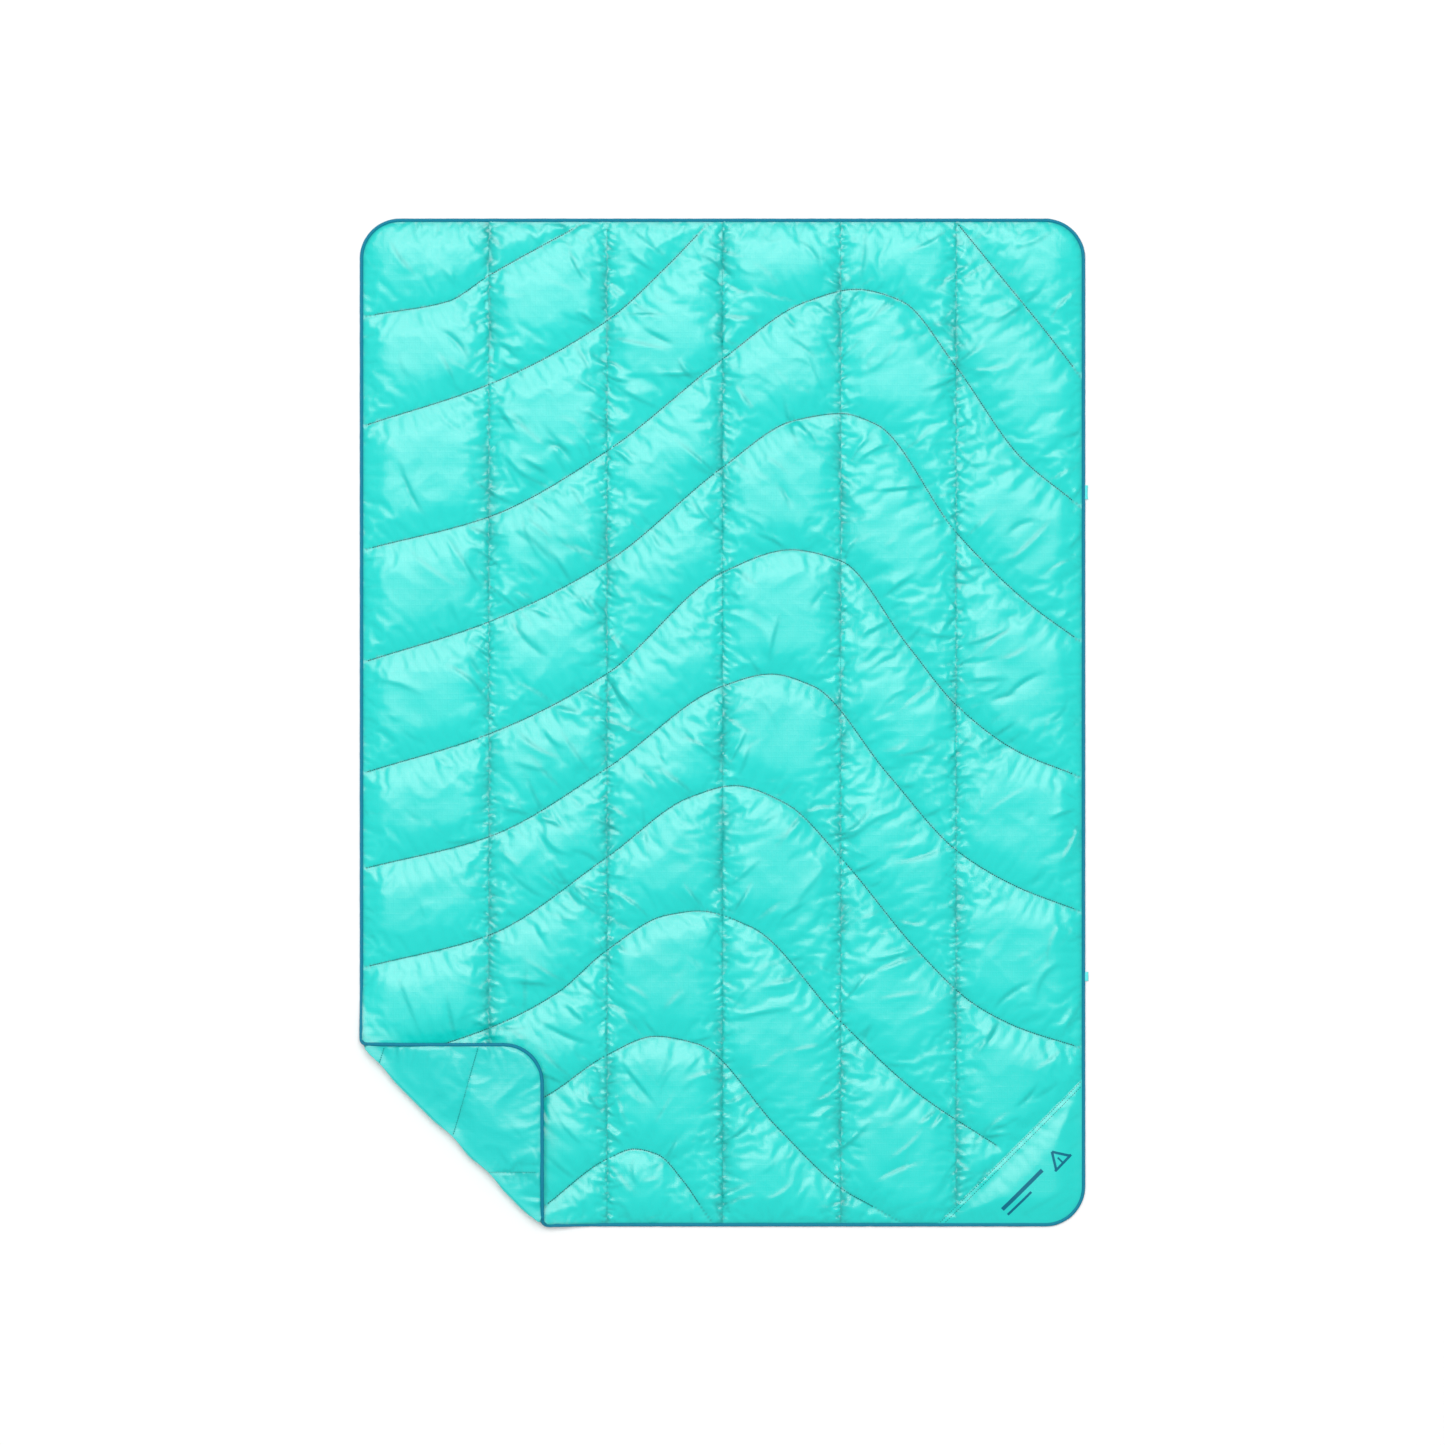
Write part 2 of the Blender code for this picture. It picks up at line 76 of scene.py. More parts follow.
# Places from the blanket's middle: the straight seams, each wave's knots, and each loop with its width
COLUMNS = (-0.425, -0.210, 0.0, 0.215, 0.425)
COLUMN_SIDES = [(x, side) for x in COLUMNS for side in (-1, 1)]
WAVES = {
    "a": ((-0.633, 0.742), (-0.500, 0.766), (-0.425, 0.813), (-0.272, 0.898)),
    "b": ((-0.646, 0.542), (-0.425, 0.615), (-0.210, 0.731), (-0.103, 0.828), (-0.045, 0.888)),
    "c": (
        (-0.638, 0.318), (-0.425, 0.374), (-0.210, 0.494), (0.0, 0.661), (0.149, 0.764),
        (0.243, 0.788), (0.325, 0.767), (0.425, 0.647), (0.542, 0.483), (0.638, 0.403),
    ),
    "d": (
        (-0.646, 0.112), (-0.425, 0.183), (-0.210, 0.292), (0.0, 0.464), (0.130, 0.549),
        (0.215, 0.562), (0.280, 0.542), (0.425, 0.346), (0.560, 0.214), (0.642, 0.154),
    ),
    "e": (
        (-0.647, -0.090), (-0.425, -0.021), (-0.210, 0.089), (0.0, 0.273), (0.125, 0.314),
        (0.215, 0.294), (0.338, 0.139), (0.425, 0.032), (0.536, -0.052), (0.638, -0.094),
    ),
    "f": (
        (-0.649, -0.265), (-0.425, -0.208), (-0.210, -0.083), (0.0, 0.066), (0.088, 0.088),
        (0.165, 0.066), (0.301, -0.094), (0.425, -0.232), (0.536, -0.299), (0.642, -0.340),
    ),
    "g": (
        (-0.642, -0.443), (-0.425, -0.387), (-0.210, -0.245), (-0.059, -0.136), (0.021, -0.115),
        (0.116, -0.148), (0.215, -0.246), (0.356, -0.416), (0.456, -0.511), (0.536, -0.554),
        (0.643, -0.589),
    ),
    "h": (
        (-0.651, -0.627), (-0.425, -0.556), (-0.301, -0.492), (-0.210, -0.414), (-0.103, -0.351),
        (-0.043, -0.343), (0.052, -0.372), (0.215, -0.544), (0.356, -0.675), (0.498, -0.769),
    ),
    "i": (
        (-0.651, -0.798), (-0.425, -0.729), (-0.318, -0.678), (-0.210, -0.605), (-0.122, -0.571),
        (-0.045, -0.585), (0.103, -0.740), (0.215, -0.847), (0.276, -0.882),
    ),
    "j": (
        (-0.318, -0.875), (-0.210, -0.794), (-0.160, -0.776), (-0.120, -0.785), (-0.067, -0.840),
        (-0.041, -0.878),
    ),
    "z": ((0.429, 0.906), (0.496, 0.824), (0.581, 0.720), (0.638, 0.647)),
}
LOOPS = {"upper": (0.419, 0.025), "lower": (-0.462, 0.016)}

random = np.random.default_rng(20)


# ---- lines in the plane


def arc_lengths(points):
    return np.concatenate([[0.0], np.cumsum(np.linalg.norm(np.diff(points, axis=0), axis=1))])


def add_object(name, data):
    obj = bpy.data.objects.new(name, data)
    bpy.context.scene.collection.objects.link(obj)
    return obj


def smoothstep(t):
    t = np.clip(t, 0.0, 1.0)
    return t * t * (3 - 2 * t)


def at_lengths(path, at):
    """Points of a path at distances along it."""
    lengths = arc_lengths(path)
    return np.column_stack([np.interp(at, lengths, column) for column in path.T])


def wave_curve(knots, reach, steps=240):
    """A curve y(x) through the knots with no overshoot, run on straight past both ends by reach."""
    x, y = np.array(knots).T
    widths = np.diff(x)
    slopes = np.diff(y) / widths
    tangents = np.zeros(len(x))
    for i in range(1, len(x) - 1):
        if slopes[i - 1] * slopes[i] > 0:
            before = 2 * widths[i] + widths[i - 1]
            after = widths[i] + 2 * widths[i - 1]
            tangents[i] = (before + after) / (before / slopes[i - 1] + after / slopes[i])
    tangents[0], tangents[-1] = slopes[0], slopes[-1]
    at = np.linspace(x[0], x[-1], steps)
    k = np.clip(np.searchsorted(x, at) - 1, 0, len(widths) - 1)
    t = (at - x[k]) / widths[k]
    up = (
        (1 + 2 * t) * (1 - t) ** 2 * y[k]
        + t * (1 - t) ** 2 * widths[k] * tangents[k]
        + t * t * (3 - 2 * t) * y[k + 1]
        + t * t * (t - 1) * widths[k] * tangents[k + 1]
    )
    inner = np.column_stack([at, up])
    if not reach:
        return inner
    first, last = (reach * np.array((1.0, t)) / math.hypot(1.0, t) for t in tangents[[0, -1]])
    return np.vstack([inner[0] - first, inner, inner[-1] + last])


def rounded_outline(inset, arc_steps, straight_steps):
    """Closed anticlockwise outline, beginning where the right side leaves the front right corner."""
    radius = CORNER_RADIUS - inset
    x, y = HALF_W - CORNER_RADIUS, HALF_L - CORNER_RADIUS
    arcs = []
    for quarter, (cx, cy) in enumerate(((x, -y), (x, y), (-x, y), (-x, -y))):
        angles = np.radians(90 * (quarter - 1 + np.arange(arc_steps + 1) / arc_steps))
        arcs.append(np.column_stack([cx + radius * np.cos(angles), cy + radius * np.sin(angles)]))
    points = []
    for quarter, arc in enumerate(arcs):
        points.append(arc[:-1])
        points.append(np.linspace(arc[-1], arcs[(quarter + 1) % 4][0], straight_steps + 1)[:-1])
    return np.vstack([*points, arcs[0][:1]])


def crossings(curve, other):
    """Each crossing of two polylines, as (place along the first, point)."""
    a, b = curve[:-1, None], np.diff(curve, axis=0)[:, None]
    c, d = other[None, :-1], np.diff(other, axis=0)[None]
    turn = b[..., 0] * d[..., 1] - b[..., 1] * d[..., 0]
    level = np.abs(turn) < 1e-12
    turn = np.where(level, 1.0, turn)
    offset = c - a
    t = (offset[..., 0] * d[..., 1] - offset[..., 1] * d[..., 0]) / turn
    u = (offset[..., 0] * b[..., 1] - offset[..., 1] * b[..., 0]) / turn
    i, j = np.nonzero(~level & (t >= 0) & (t < 1) & (u >= 0) & (u < 1))
    return [(k + s, p) for k, s, p in zip(i, t[i, j], curve[i] + t[i, j][:, None] * b[i, 0])]


def trimmed(curve, limits):
    """The longest run of the curve between its ends and its crossings with the limits."""
    ends = [(0.0, curve[0]), (len(curve) - 1.0, curve[-1])]
    cuts = ends + [cut for limit in limits for cut in crossings(curve, limit)]
    cuts.sort(key=lambda cut: cut[0])
    k = max((cuts[k + 1][0] - cuts[k][0], k) for k in range(len(cuts) - 1))[1]
    start, end = cuts[k], cuts[k + 1]
    inside = curve[math.floor(start[0]) + 1 : math.ceil(end[0])]
    return np.vstack([start[1], inside, end[1]])


def resampled(curve, others, step):
    """The curve as even steps between its ends and its crossings with the others."""
    last = float(len(curve) - 1)
    cuts = [(0.0, curve[0]), (last, curve[-1])]
    for other in others:
        cuts += [cut for cut in crossings(curve, other) if 1e-6 < cut[0] < last - 1e-6]
        for end in (other[0], other[-1]):
            near = np.linalg.norm(curve - end, axis=1)
            if near.min() < 1e-6:
                cuts.append((float(near.argmin()), end))
    cuts.sort(key=lambda cut: cut[0])
    lengths = arc_lengths(curve)
    places = np.arange(len(curve))
    points = [cuts[0][1]]
    for (start, _), (end, point) in zip(cuts, cuts[1:]):
        low, high = np.interp((start, end), places, lengths)
        if high - low < 1e-5:
            continue
        count = max(1, round((high - low) / step))
        at = low + (high - low) * np.arange(1, count) / count
        points += list(at_lengths(curve, at))
        points.append(point)
    return np.array(points)


def segment(start, end, pieces=40):
    return np.linspace(start, end, pieces + 1)


SHEET_INSET = 0.0050
outline = rounded_outline(SHEET_INSET, 18, 60)
fold_line = trimmed(
    segment((-HALF_W - 0.02, FOLD_SUM + HALF_W + 0.02), (FOLD_SUM + HALF_L + 0.02, -HALF_L - 0.02)),
    [outline],
)
patch_edge = trimmed(
    segment((HALF_W - PATCH_LEG - 0.02, -HALF_L - 0.02), (HALF_W + 0.02, -HALF_L + PATCH_LEG + 0.02)),
    [outline],
)
column_lines = [
    trimmed(segment((x, -HALF_L), (x, HALF_L), 80), [outline, patch_edge]) for x in COLUMNS
]
wave_lines = {name: trimmed(wave_curve(knots, 0.09), [outline]) for name, knots in WAVES.items()}
wave_lines["h"] = trimmed(wave_curve(WAVES["h"], 0.09)[:-1], [outline])
wave_lines["j"] = trimmed(wave_curve(WAVES["j"], 0.09), [outline, fold_line])


def edge_distance(points):
    """Distance inside the blanket's rounded edge."""
    out = np.abs(points) - (HALF_W - CORNER_RADIUS, HALF_L - CORNER_RADIUS)
    corner = np.linalg.norm(np.maximum(out, 0), axis=1)
    return CORNER_RADIUS - corner - np.minimum(out.max(axis=1), 0)


def sheet_depth(points):
    """Distance inside the edge of the cloth, which ends within the binding."""
    return edge_distance(points) - SHEET_INSET


def fold_distance(points):
    return np.abs(points[:, 0] + points[:, 1] - FOLD_SUM) / ROOT


def patch_depth(points):
    """Distance inside the patch's long edge."""
    return (points[:, 0] - points[:, 1] - (HALF_W + HALF_L - PATCH_LEG)) / ROOT


# ---- the quilt's mesh in the plane

def hex_grid(step, shake):
    rows = np.arange(-HALF_L, HALF_L, step * math.sqrt(0.75))
    columns = np.arange(-HALF_W, HALF_W, step)
    x = columns[None] + step / 2 * (np.arange(len(rows)) % 2)[:, None]
    grid = np.column_stack([x.ravel(), np.repeat(rows, len(columns))])
    return grid + random.uniform(-shake, shake, grid.shape) * step


def from_column(points):
    return np.abs(points[:, :1] - np.array(COLUMNS)).min(axis=1)


def tree_of(points):
    tree = KDTree(len(points))
    for k, p in enumerate(points):
        tree.insert((p[0], p[1], 0.0), k)
    tree.balance()
    return tree


def distance_to(tree, points):
    return np.array([tree.find((x, y, 0.0))[2] for x, y in points])


def quilt_plan(step, band_step, band, corner_step):
    """(seam lines, points, triangles, whether each point is sewn), finer at the columns and in the corner."""
    curves = {"edge": outline, "patch": patch_edge}
    curves.update({f"column_{i + 1}": line for i, line in enumerate(column_lines)})
    curves.update({f"wave_{name}": line for name, line in wave_lines.items()})
    curves["fold"] = fold_line
    lines, points, sides = {}, [], []
    for name, curve in curves.items():
        others = [other for key, other in curves.items() if key != name]
        lines[name] = resampled(curve, others, band_step if name.startswith("column") else step * 0.9)
        line = lines[name][:-1] if name == "edge" else lines[name]
        first = len(points)
        points += [tuple(p) for p in line]
        sides += [(first + k, first + k + 1) for k in range(len(line) - 1)]
        if name == "edge":
            ring = list(range(len(line)))
            sides.append((ring[-1], 0))
        if name == "fold":
            seam_count = first
    tree = tree_of(np.array(points))
    for spacing, zone in ((step, 0), (band_step, 1), (corner_step, 2)):
        grid = hex_grid(spacing, 0.12)
        zones = np.where(grid.sum(axis=1) < FOLD_SUM + 0.01, 2, from_column(grid) <= band)
        grid = grid[zones == zone]
        grid = grid[edge_distance(grid) > SHEET_INSET + spacing * 0.5]
        points += [tuple(p) for p in grid[distance_to(tree, grid) > spacing * 0.55]]
    flat, _, triangles, origin, *_ = delaunay_2d_cdt(
        [Vector(p) for p in points], sides, [ring], 1, 1e-5
    )
    sewn = np.array([any(k < seam_count for k in o) for o in origin])
    return lines, np.array([tuple(p) for p in flat]), np.array(triangles), sewn


# ---- inflating the cells


def value_noise(length, spacing):
    """A smooth random function of one length, from -1 to 1, repeatable."""
    count = int(length / spacing) + 4
    values = random.uniform(-1, 1, count)

    def at(s):
        place = np.clip((np.asarray(s) + length / 2) / spacing, 0, count - 2.001)
        k = place.astype(int)
        t = smoothstep(place - k)
        return values[k] * (1 - t) + values[k + 1] * t

    return at


def gathers(points, spacing, reach, amount):
    """Small waves of height that run out from both sides of each straight seam."""
    height = np.zeros(len(points))
    for x, side in COLUMN_SIDES:
        noise = value_noise(LENGTH + 0.2, spacing)
        lean = value_noise(LENGTH + 0.2, 0.09)
        away = (points[:, 0] - x) * side
        on = (away > 0) & (away < reach * 4)
        away = away[on]
        s = points[on, 1] + away * 0.8 * lean(points[on, 1])
        height[on] += amount * (1 - np.exp(-away / 0.002)) * noise(s) * np.exp(-away / reach)
    return height


outline_steps = resampled(outline, [], 0.002)
outline_tree = tree_of(outline_steps)
outline_lengths = arc_lengths(outline_steps)


def edge_gathers(points, spacing, reach, amount):
    """Small waves of height that run in from the binding."""
    height = np.zeros(len(points))
    depth = sheet_depth(points)
    on = np.nonzero(depth < reach * 4)[0]
    place = outline_lengths[[outline_tree.find((x, y, 0.0))[1] for x, y in points[on]]]
    lean = value_noise(6.4, 0.11)(place - 3.2)
    noise = value_noise(6.4, spacing)(place - 3.2 + 0.7 * lean * depth[on])
    height[on] = amount * noise * (1 - np.exp(-depth[on] / 0.002)) * np.exp(-depth[on] / reach)
    return height


def add_crease(height, shade, points, start, angle, length, amount, widths, bend, from_seam):
    """One fold in the cloth: steep on one side with painted shade at its foot, gentle on the other, fading
    out at its end.
    """
    run = np.array((math.cos(angle), math.sin(angle)))
    near = np.nonzero(np.abs(points - start).max(axis=1) < length + 0.03)[0]
    offset = points[near] - start
    along = offset @ run / length
    across = offset @ (-run[1], run[0]) + bend * along * along
    if from_seam:
        fade = np.clip(1 - along, 0, 1) ** 1.2 * np.clip(along * length / 0.005 + 0.4, 0, 1)
    else:
        fade = np.clip(1 - along * along, 0, 1) ** 2
    width = np.where(across > 0, widths[0], widths[1])
    height[near] += amount * fade * np.exp(-((np.abs(across) / width) ** 1.25))
    # Painted shade: a dark stroke along the foot of the steep side, standing in for its self-shadow.
    steep = min(widths)
    foot = across - (1.1 if widths[0] < widths[1] else -1.1) * steep
    depth = np.clip(abs(amount) / 0.0040, 0, 1)
    shade[near] += depth * np.sqrt(fade) * np.exp(-((foot / steep) ** 2))


LATTICE = 420


def lattice_noise(points, spacing, turn):
    """Smooth random heights on a turned grid, from -1 to 1."""
    c, d = math.cos(turn), math.sin(turn)
    place = np.column_stack([points @ (c, d), points @ (-d, c)]) / spacing + 80
    cell = np.floor(place).astype(int)
    values = random.uniform(-1, 1, (LATTICE, LATTICE))
    t = smoothstep(place - cell)
    i, j = cell.T
    low = values[i, j] * (1 - t[:, 0]) + values[i + 1, j] * t[:, 0]
    high = values[i, j + 1] * (1 - t[:, 0]) + values[i + 1, j + 1] * t[:, 0]
    return low * (1 - t[:, 1]) + high * t[:, 1]


def crumple(points):
    """Soft facets with sharper ridges between them, at two sizes."""
    bend = 0.012 * np.column_stack([lattice_noise(points, 0.06, turn) for turn in (0.4, 1.3)])
    coarse = 1 - 2 * np.abs(lattice_noise(points + bend, 0.048, -0.7))
    small = 1 - 2 * np.abs(lattice_noise(points + bend, 0.026, 0.5))
    return 0.00075 * coarse + 0.00030 * small


EDGE_CREASES, CELL_CREASES, STRONG_CREASES = 330, 760, 300


def crease_widths(narrow, wide):
    """A steep side and a gentle one, either way round."""
    widths = random.uniform(*narrow), random.uniform(*wide)
    return widths if random.uniform() < 0.5 else widths[::-1]


def crease_field(points, wave_away):
    """Folds dragged out from the seams and the edge, and longer ones across the cells, as (height, painted
    shade).
    """
    height, shade = np.zeros(len(points)), np.zeros(len(points))

    def crease(*fold):
        add_crease(height, shade, points, *fold)

    for x, side in COLUMN_SIDES:
        y = -HALF_L
        while y < HALF_L:
            y += random.uniform(0.006, 0.024)
            tilt = math.radians(random.choice((-1, 1)) * random.uniform(5, 58))
            angle = tilt if side > 0 else math.pi - tilt
            length = 0.012 + 0.060 * random.uniform(0, 1) ** 2.0
            amount = random.uniform(0.0009, 0.0026) * (1 if random.uniform() < 0.7 else -0.8)
            widths = crease_widths((0.0013, 0.0026), (0.0028, 0.0060))
            place = np.array((x + side * 0.001, y))
            crease(place, angle, length, amount, widths, 0.004 * tilt, True)
    for _ in range(EDGE_CREASES):
        k = random.integers(len(outline_steps) - 1)
        run = outline_steps[k + 1] - outline_steps[k]
        angle = math.atan2(run[1], run[0]) + math.pi / 2 + math.radians(random.uniform(-50, 50))
        length = 0.012 + 0.042 * random.uniform(0, 1) ** 2
        amount = random.uniform(0.0006, 0.0023)
        widths = (random.uniform(0.0014, 0.0026), random.uniform(0.0030, 0.0070))
        widths = widths[:: random.choice((-1, 1))]
        crease(outline_steps[k], angle, length, amount, widths, 0.002, True)
    for number in range(CELL_CREASES):
        place = np.array((random.uniform(-HALF_W, HALF_W), random.uniform(-HALF_L, HALF_L)))
        place[0] += (place[0] < -0.40) * random.uniform(0, 0.3)
        _, k, _ = wave_tree.find((*place, 0.0))
        across_wave = (math.degrees(wave_angles[k]) + 180) % 180 - 90
        angle = math.radians(across_wave * 0.66 + random.normal(0, 16))
        strong = number < STRONG_CREASES
        length = random.uniform(*((0.028, 0.062) if strong else (0.014, 0.042)))
        amount = random.uniform(*((0.0022, 0.0044) if strong else (0.0006, 0.0018)))
        amount *= 1 if random.uniform() < 0.75 else -0.8
        widths = crease_widths((0.0022, 0.0038), (0.0065, 0.0130))
        crease(place, angle, length, amount, widths, random.normal(0, 0.006), False)
    away = smoothstep((wave_away - 0.001) / 0.010)
    return height * away, np.clip(shade, 0, 1) * away


SIMULATED_FRAMES = 12
RIPSTOP_CLOTH = {
    "quality": 4, "mass": 0.1, "tension_stiffness": 20, "compression_stiffness": 20, "shear_stiffness": 10,
    "tension_damping": 1, "compression_damping": 1, "shear_damping": 1, "bending_damping": 0.1,
    "vertex_group_mass": "seams", "vertex_group_shrink": "ungathered", "use_pressure": True,
}


def inflate(flat, triangles, sewn, distance, pressure, spare, column_spare, bending):
    """Cloth with spare fabric blown up between its sewn seams: returns its points, seams at z = 0."""
    start = 0.012 * np.sin(np.minimum(distance / 0.06, 1.0) * math.pi / 2)
    start += gathers(flat, 0.0070, 0.009, 0.0006)
    start[~sewn] += random.normal(0, 0.0003, (~sewn).sum())
    start[sewn] = 0.0
    points = np.column_stack([flat, start])
    mesh = bpy.data.meshes.new("quilt_simulation")
    mesh.from_pydata(points.tolist(), [], triangles.tolist())
    sheet = add_object("quilt_simulation", mesh)
    group = sheet.vertex_groups.new(name="seams")
    group.add(np.nonzero(sewn)[0].tolist(), 1.0, "REPLACE")
    ungathered = sheet.vertex_groups.new(name="ungathered")
    share = smoothstep((from_column(flat) - 0.004) / 0.030)
    for level in range(1, 11):
        chosen = np.nonzero(np.round(share * 10) == level)[0]
        ungathered.add(chosen.tolist(), level / 10, "REPLACE")
    settings = sheet.modifiers.new("Cloth", "CLOTH").settings
    for key, value in RIPSTOP_CLOTH.items():
        setattr(settings, key, value)
    settings.bending_stiffness = bending
    settings.shrink_min = -column_spare
    settings.shrink_max = -spare
    settings.uniform_pressure_force = pressure
    settings.effector_weights.gravity = 0
    scene = bpy.context.scene
    for number in range(1, SIMULATED_FRAMES + 1):
        scene.frame_set(number)
    evaluated = sheet.evaluated_get(bpy.context.evaluated_depsgraph_get())
    blown = np.empty(len(flat) * 3, np.float32)
    evaluated.data.vertices.foreach_get("co", blown)
    scene.frame_set(1)
    bpy.data.objects.remove(sheet, do_unlink=True)
    return blown.reshape(-1, 3).astype(float)


def seam_level(points):
    """Height of the quilting seams' middle plane."""
    return EDGE_Z + (SEAM_Z - EDGE_Z) * smoothstep((edge_distance(points) - 0.004) / EDGE_RISE)


def shaped_by_fold(points, z, at_line, reach):
    """The height drawn towards one value at the fold line."""
    near = smoothstep(fold_distance(points) / reach)
    return z * near + at_line * (1 - near)


def quilt_level(points):
    """The seams' middle plane with its rise to the fold."""
    return shaped_by_fold(points, seam_level(points), FOLD_MIDDLE_Z, 0.085)


def standing(height, cap):
    """How far the cloth stands off the seams, with its highest parts held down."""
    height = np.maximum(height, 0.0)
    knee = cap * 0.75
    over = np.maximum(height - knee, 0.0)
    return np.minimum(height, knee) + (cap - knee) * (1 - np.exp(-over / (cap - knee)))


TUCK, TUCK_LENGTH, TUCK_WIDTH = 0.0078, 0.030, 0.009


def tucked(points):
    """Points drawn in from both ends of the fold line, so that the binding goes round outside them."""
    run = np.array((1.0, -1.0)) / ROOT
    place = points @ run
    shift = np.zeros(len(points))
    for end, way in ((fold_line[0] @ run, 1), (fold_line[-1] @ run, -1)):
        shift += way * TUCK * smoothstep(1 - (place - end) * way / TUCK_LENGTH)
    near = np.clip(1 - fold_distance(points) / TUCK_WIDTH, 0, 1) ** 2
    return points + (shift * near)[:, None] * run


def side_drift(blown, plan, distance):
    """How far the cloth has moved sideways, and nothing at the fold line."""
    drift = (blown[:, :2] - plan) * smoothstep(distance / 0.008)[:, None]
    return drift * smoothstep(fold_distance(plan) / 0.03)[:, None]


def sides_of(triangles):
    return np.concatenate([triangles[:, [0, 1]], triangles[:, [1, 2]], triangles[:, [2, 0]]])


def subdivided(points, triangles, crease):
    """One Loop subdivision. Crease points, and edges between two of them, keep their place."""
    edges, index = np.unique(np.sort(sides_of(triangles), axis=1), axis=0, return_inverse=True)
    index = index.reshape(3, -1)
    across, faces_at = np.zeros((len(edges), points.shape[1])), np.zeros(len(edges))
    for k, corner in enumerate((2, 0, 1)):
        np.add.at(across, index[k], points[triangles[:, corner]])
        np.add.at(faces_at, index[k], 1)
    ends = points[edges].sum(axis=1)
    sharp = (faces_at < 2) | crease[edges].all(axis=1)
    middle = np.where(sharp[:, None], ends / 2, ends * 0.375 + across * 0.125)
    total, valence = np.zeros_like(points), np.zeros(len(points))
    for a, b in ((0, 1), (1, 0)):
        np.add.at(total, edges[:, a], points[edges[:, b]])
        np.add.at(valence, edges[:, a], 1)
    moved = points * 0.625 + total * (0.375 / valence)[:, None]
    moved[crease] = points[crease]
    ab, bc, ca = index + len(points)
    a, b, c = triangles.T
    split = [(a, ab, ca), (ab, b, bc), (ca, bc, c), (ab, bc, ca)]
    split = np.stack([np.column_stack(t) for t in split], axis=1).reshape(-1, 3)
    return np.vstack([moved, middle]), split, np.concatenate([crease, sharp])


lines, rough_plan, rough_faces, rough_sewn = quilt_plan(
    step=0.0080, band_step=0.0052, band=0.011, corner_step=0.0090
)
wave_runs = [line for name, line in lines.items() if name.startswith("wave")]
wave_angles = np.hstack([np.arctan2(*np.gradient(line, axis=0).T[::-1]) for line in wave_runs])
wave_tree = tree_of(np.vstack(wave_runs))
seam_tree = tree_of(np.vstack([line for name, line in lines.items() if name != "fold"]))
blown = inflate(
    rough_plan, rough_faces, rough_sewn, distance_to(seam_tree, rough_plan),
    pressure=60.0, spare=0.034, column_spare=0.055, bending=0.30,
)
on_fold = fold_distance(rough_plan) < 1e-6
both, fine, sewn = subdivided(np.hstack([blown, rough_plan]), rough_faces, rough_sewn | on_fold)
blown, plan = both[:, :3], both[:, 3:]
wave_away = np.minimum(distance_to(wave_tree, plan), sheet_depth(plan))
seam_away = distance_to(seam_tree, plan)
rough, face_shade = crease_field(plan, wave_away)
rough += gathers(plan, 0.0062, 0.0115, 0.0034) + edge_gathers(plan, 0.0050, 0.0085, 0.0016)
rough += crumple(plan) * smoothstep(seam_away / 0.02)
patch_share = smoothstep(patch_depth(plan) / 0.02)
rough *= smoothstep(seam_away / 0.003) * (1 - 0.6 * patch_share)
height = standing(standing(blown[:, 2] * 0.58, 0.0135) + rough, CROWN)
smooth_patch = PATCH_CROWN * smoothstep(np.minimum(patch_depth(plan), sheet_depth(plan)) / 0.055)
height += 0.75 * patch_share * (smooth_patch - height)
level = quilt_level(plan) + CLOTH_HALF
height *= np.minimum(1, (FOLD_FACE_Z - level) / CROWN)
face_z = shaped_by_fold(plan, level + height, FOLD_FACE_Z, FOLD_REACH)
face_points = np.column_stack([tucked(plan) + side_drift(blown, plan, seam_away), face_z])

_, flat, triangles, sewn_back = quilt_plan(step=0.0092, band_step=0.0070, band=0.012, corner_step=0.0042)
back_away = distance_to(seam_tree, flat)
back_blown = inflate(
    flat, triangles, sewn_back, back_away, pressure=45.0, spare=0.030, column_spare=0.05, bending=0.25
)
back_height = BACK_DEPTH * (1 - np.exp(-standing(back_blown[:, 2] * 0.6, CROWN) / BACK_DEPTH))
back_wave_away = np.minimum(distance_to(wave_tree, flat), sheet_depth(flat))
back_rough, back_shade = crease_field(flat, back_wave_away)
back_rough += gathers(flat, 0.0060, 0.0100, 0.0020)
back_rough += edge_gathers(flat, 0.0085, 0.0200, 0.0034) + 2.2 * crumple(flat)
back_rough *= smoothstep(back_away / 0.006)
level = quilt_level(flat) - CLOTH_HALF
back_height *= 0.82 * seam_level(flat) / SEAM_Z
back_z = level - np.maximum(back_height + back_rough, 0)
back_z = np.maximum(shaped_by_fold(flat, back_z, FOLD_BACK_Z, FOLD_REACH), CLOTH_HALF)
back_points = np.column_stack([tucked(flat) + side_drift(back_blown, flat, back_away) * 0.5, back_z])


def turned(points):
    """Points of the open corner, turned back over the face. It is its own inverse."""
    x, y, z = np.asarray(points, float).T
    return np.column_stack([FOLD_SUM - y, FOLD_SUM - x, 2 * HINGE_Z - z])


# ---- making pieces


def add_piece(name, points, faces, material, uv):
    """A mesh placed in the row frame. Points are given from the blanket's middle."""
    points = np.asarray(points, float) + (CENTRE_X, 0.0, 0.0)
    mesh = bpy.data.meshes.new(name)
    mesh.from_pydata(points.tolist(), [], [list(f) for f in faces])
    mesh.polygons.foreach_set("use_smooth", [True] * len(mesh.polygons))
    loops = np.empty(len(mesh.loops), np.int32)
    mesh.loops.foreach_get("vertex_index", loops)
    mesh.uv_layers.new(name="flat").data.foreach_set("uv", np.asarray(uv)[loops].ravel())
    mesh.materials.append(material)
    return add_object(name, mesh)


def set_painted_shade(obj, values):
    """Painted shade at each point, from the tight folds and creases beside the seams, for the material to mix
    in.
    """
    painted_shade = obj.data.attributes.new("painted_shade", "FLOAT", "POINT").data
    painted_shade.foreach_set("value", np.asarray(values, np.float32))


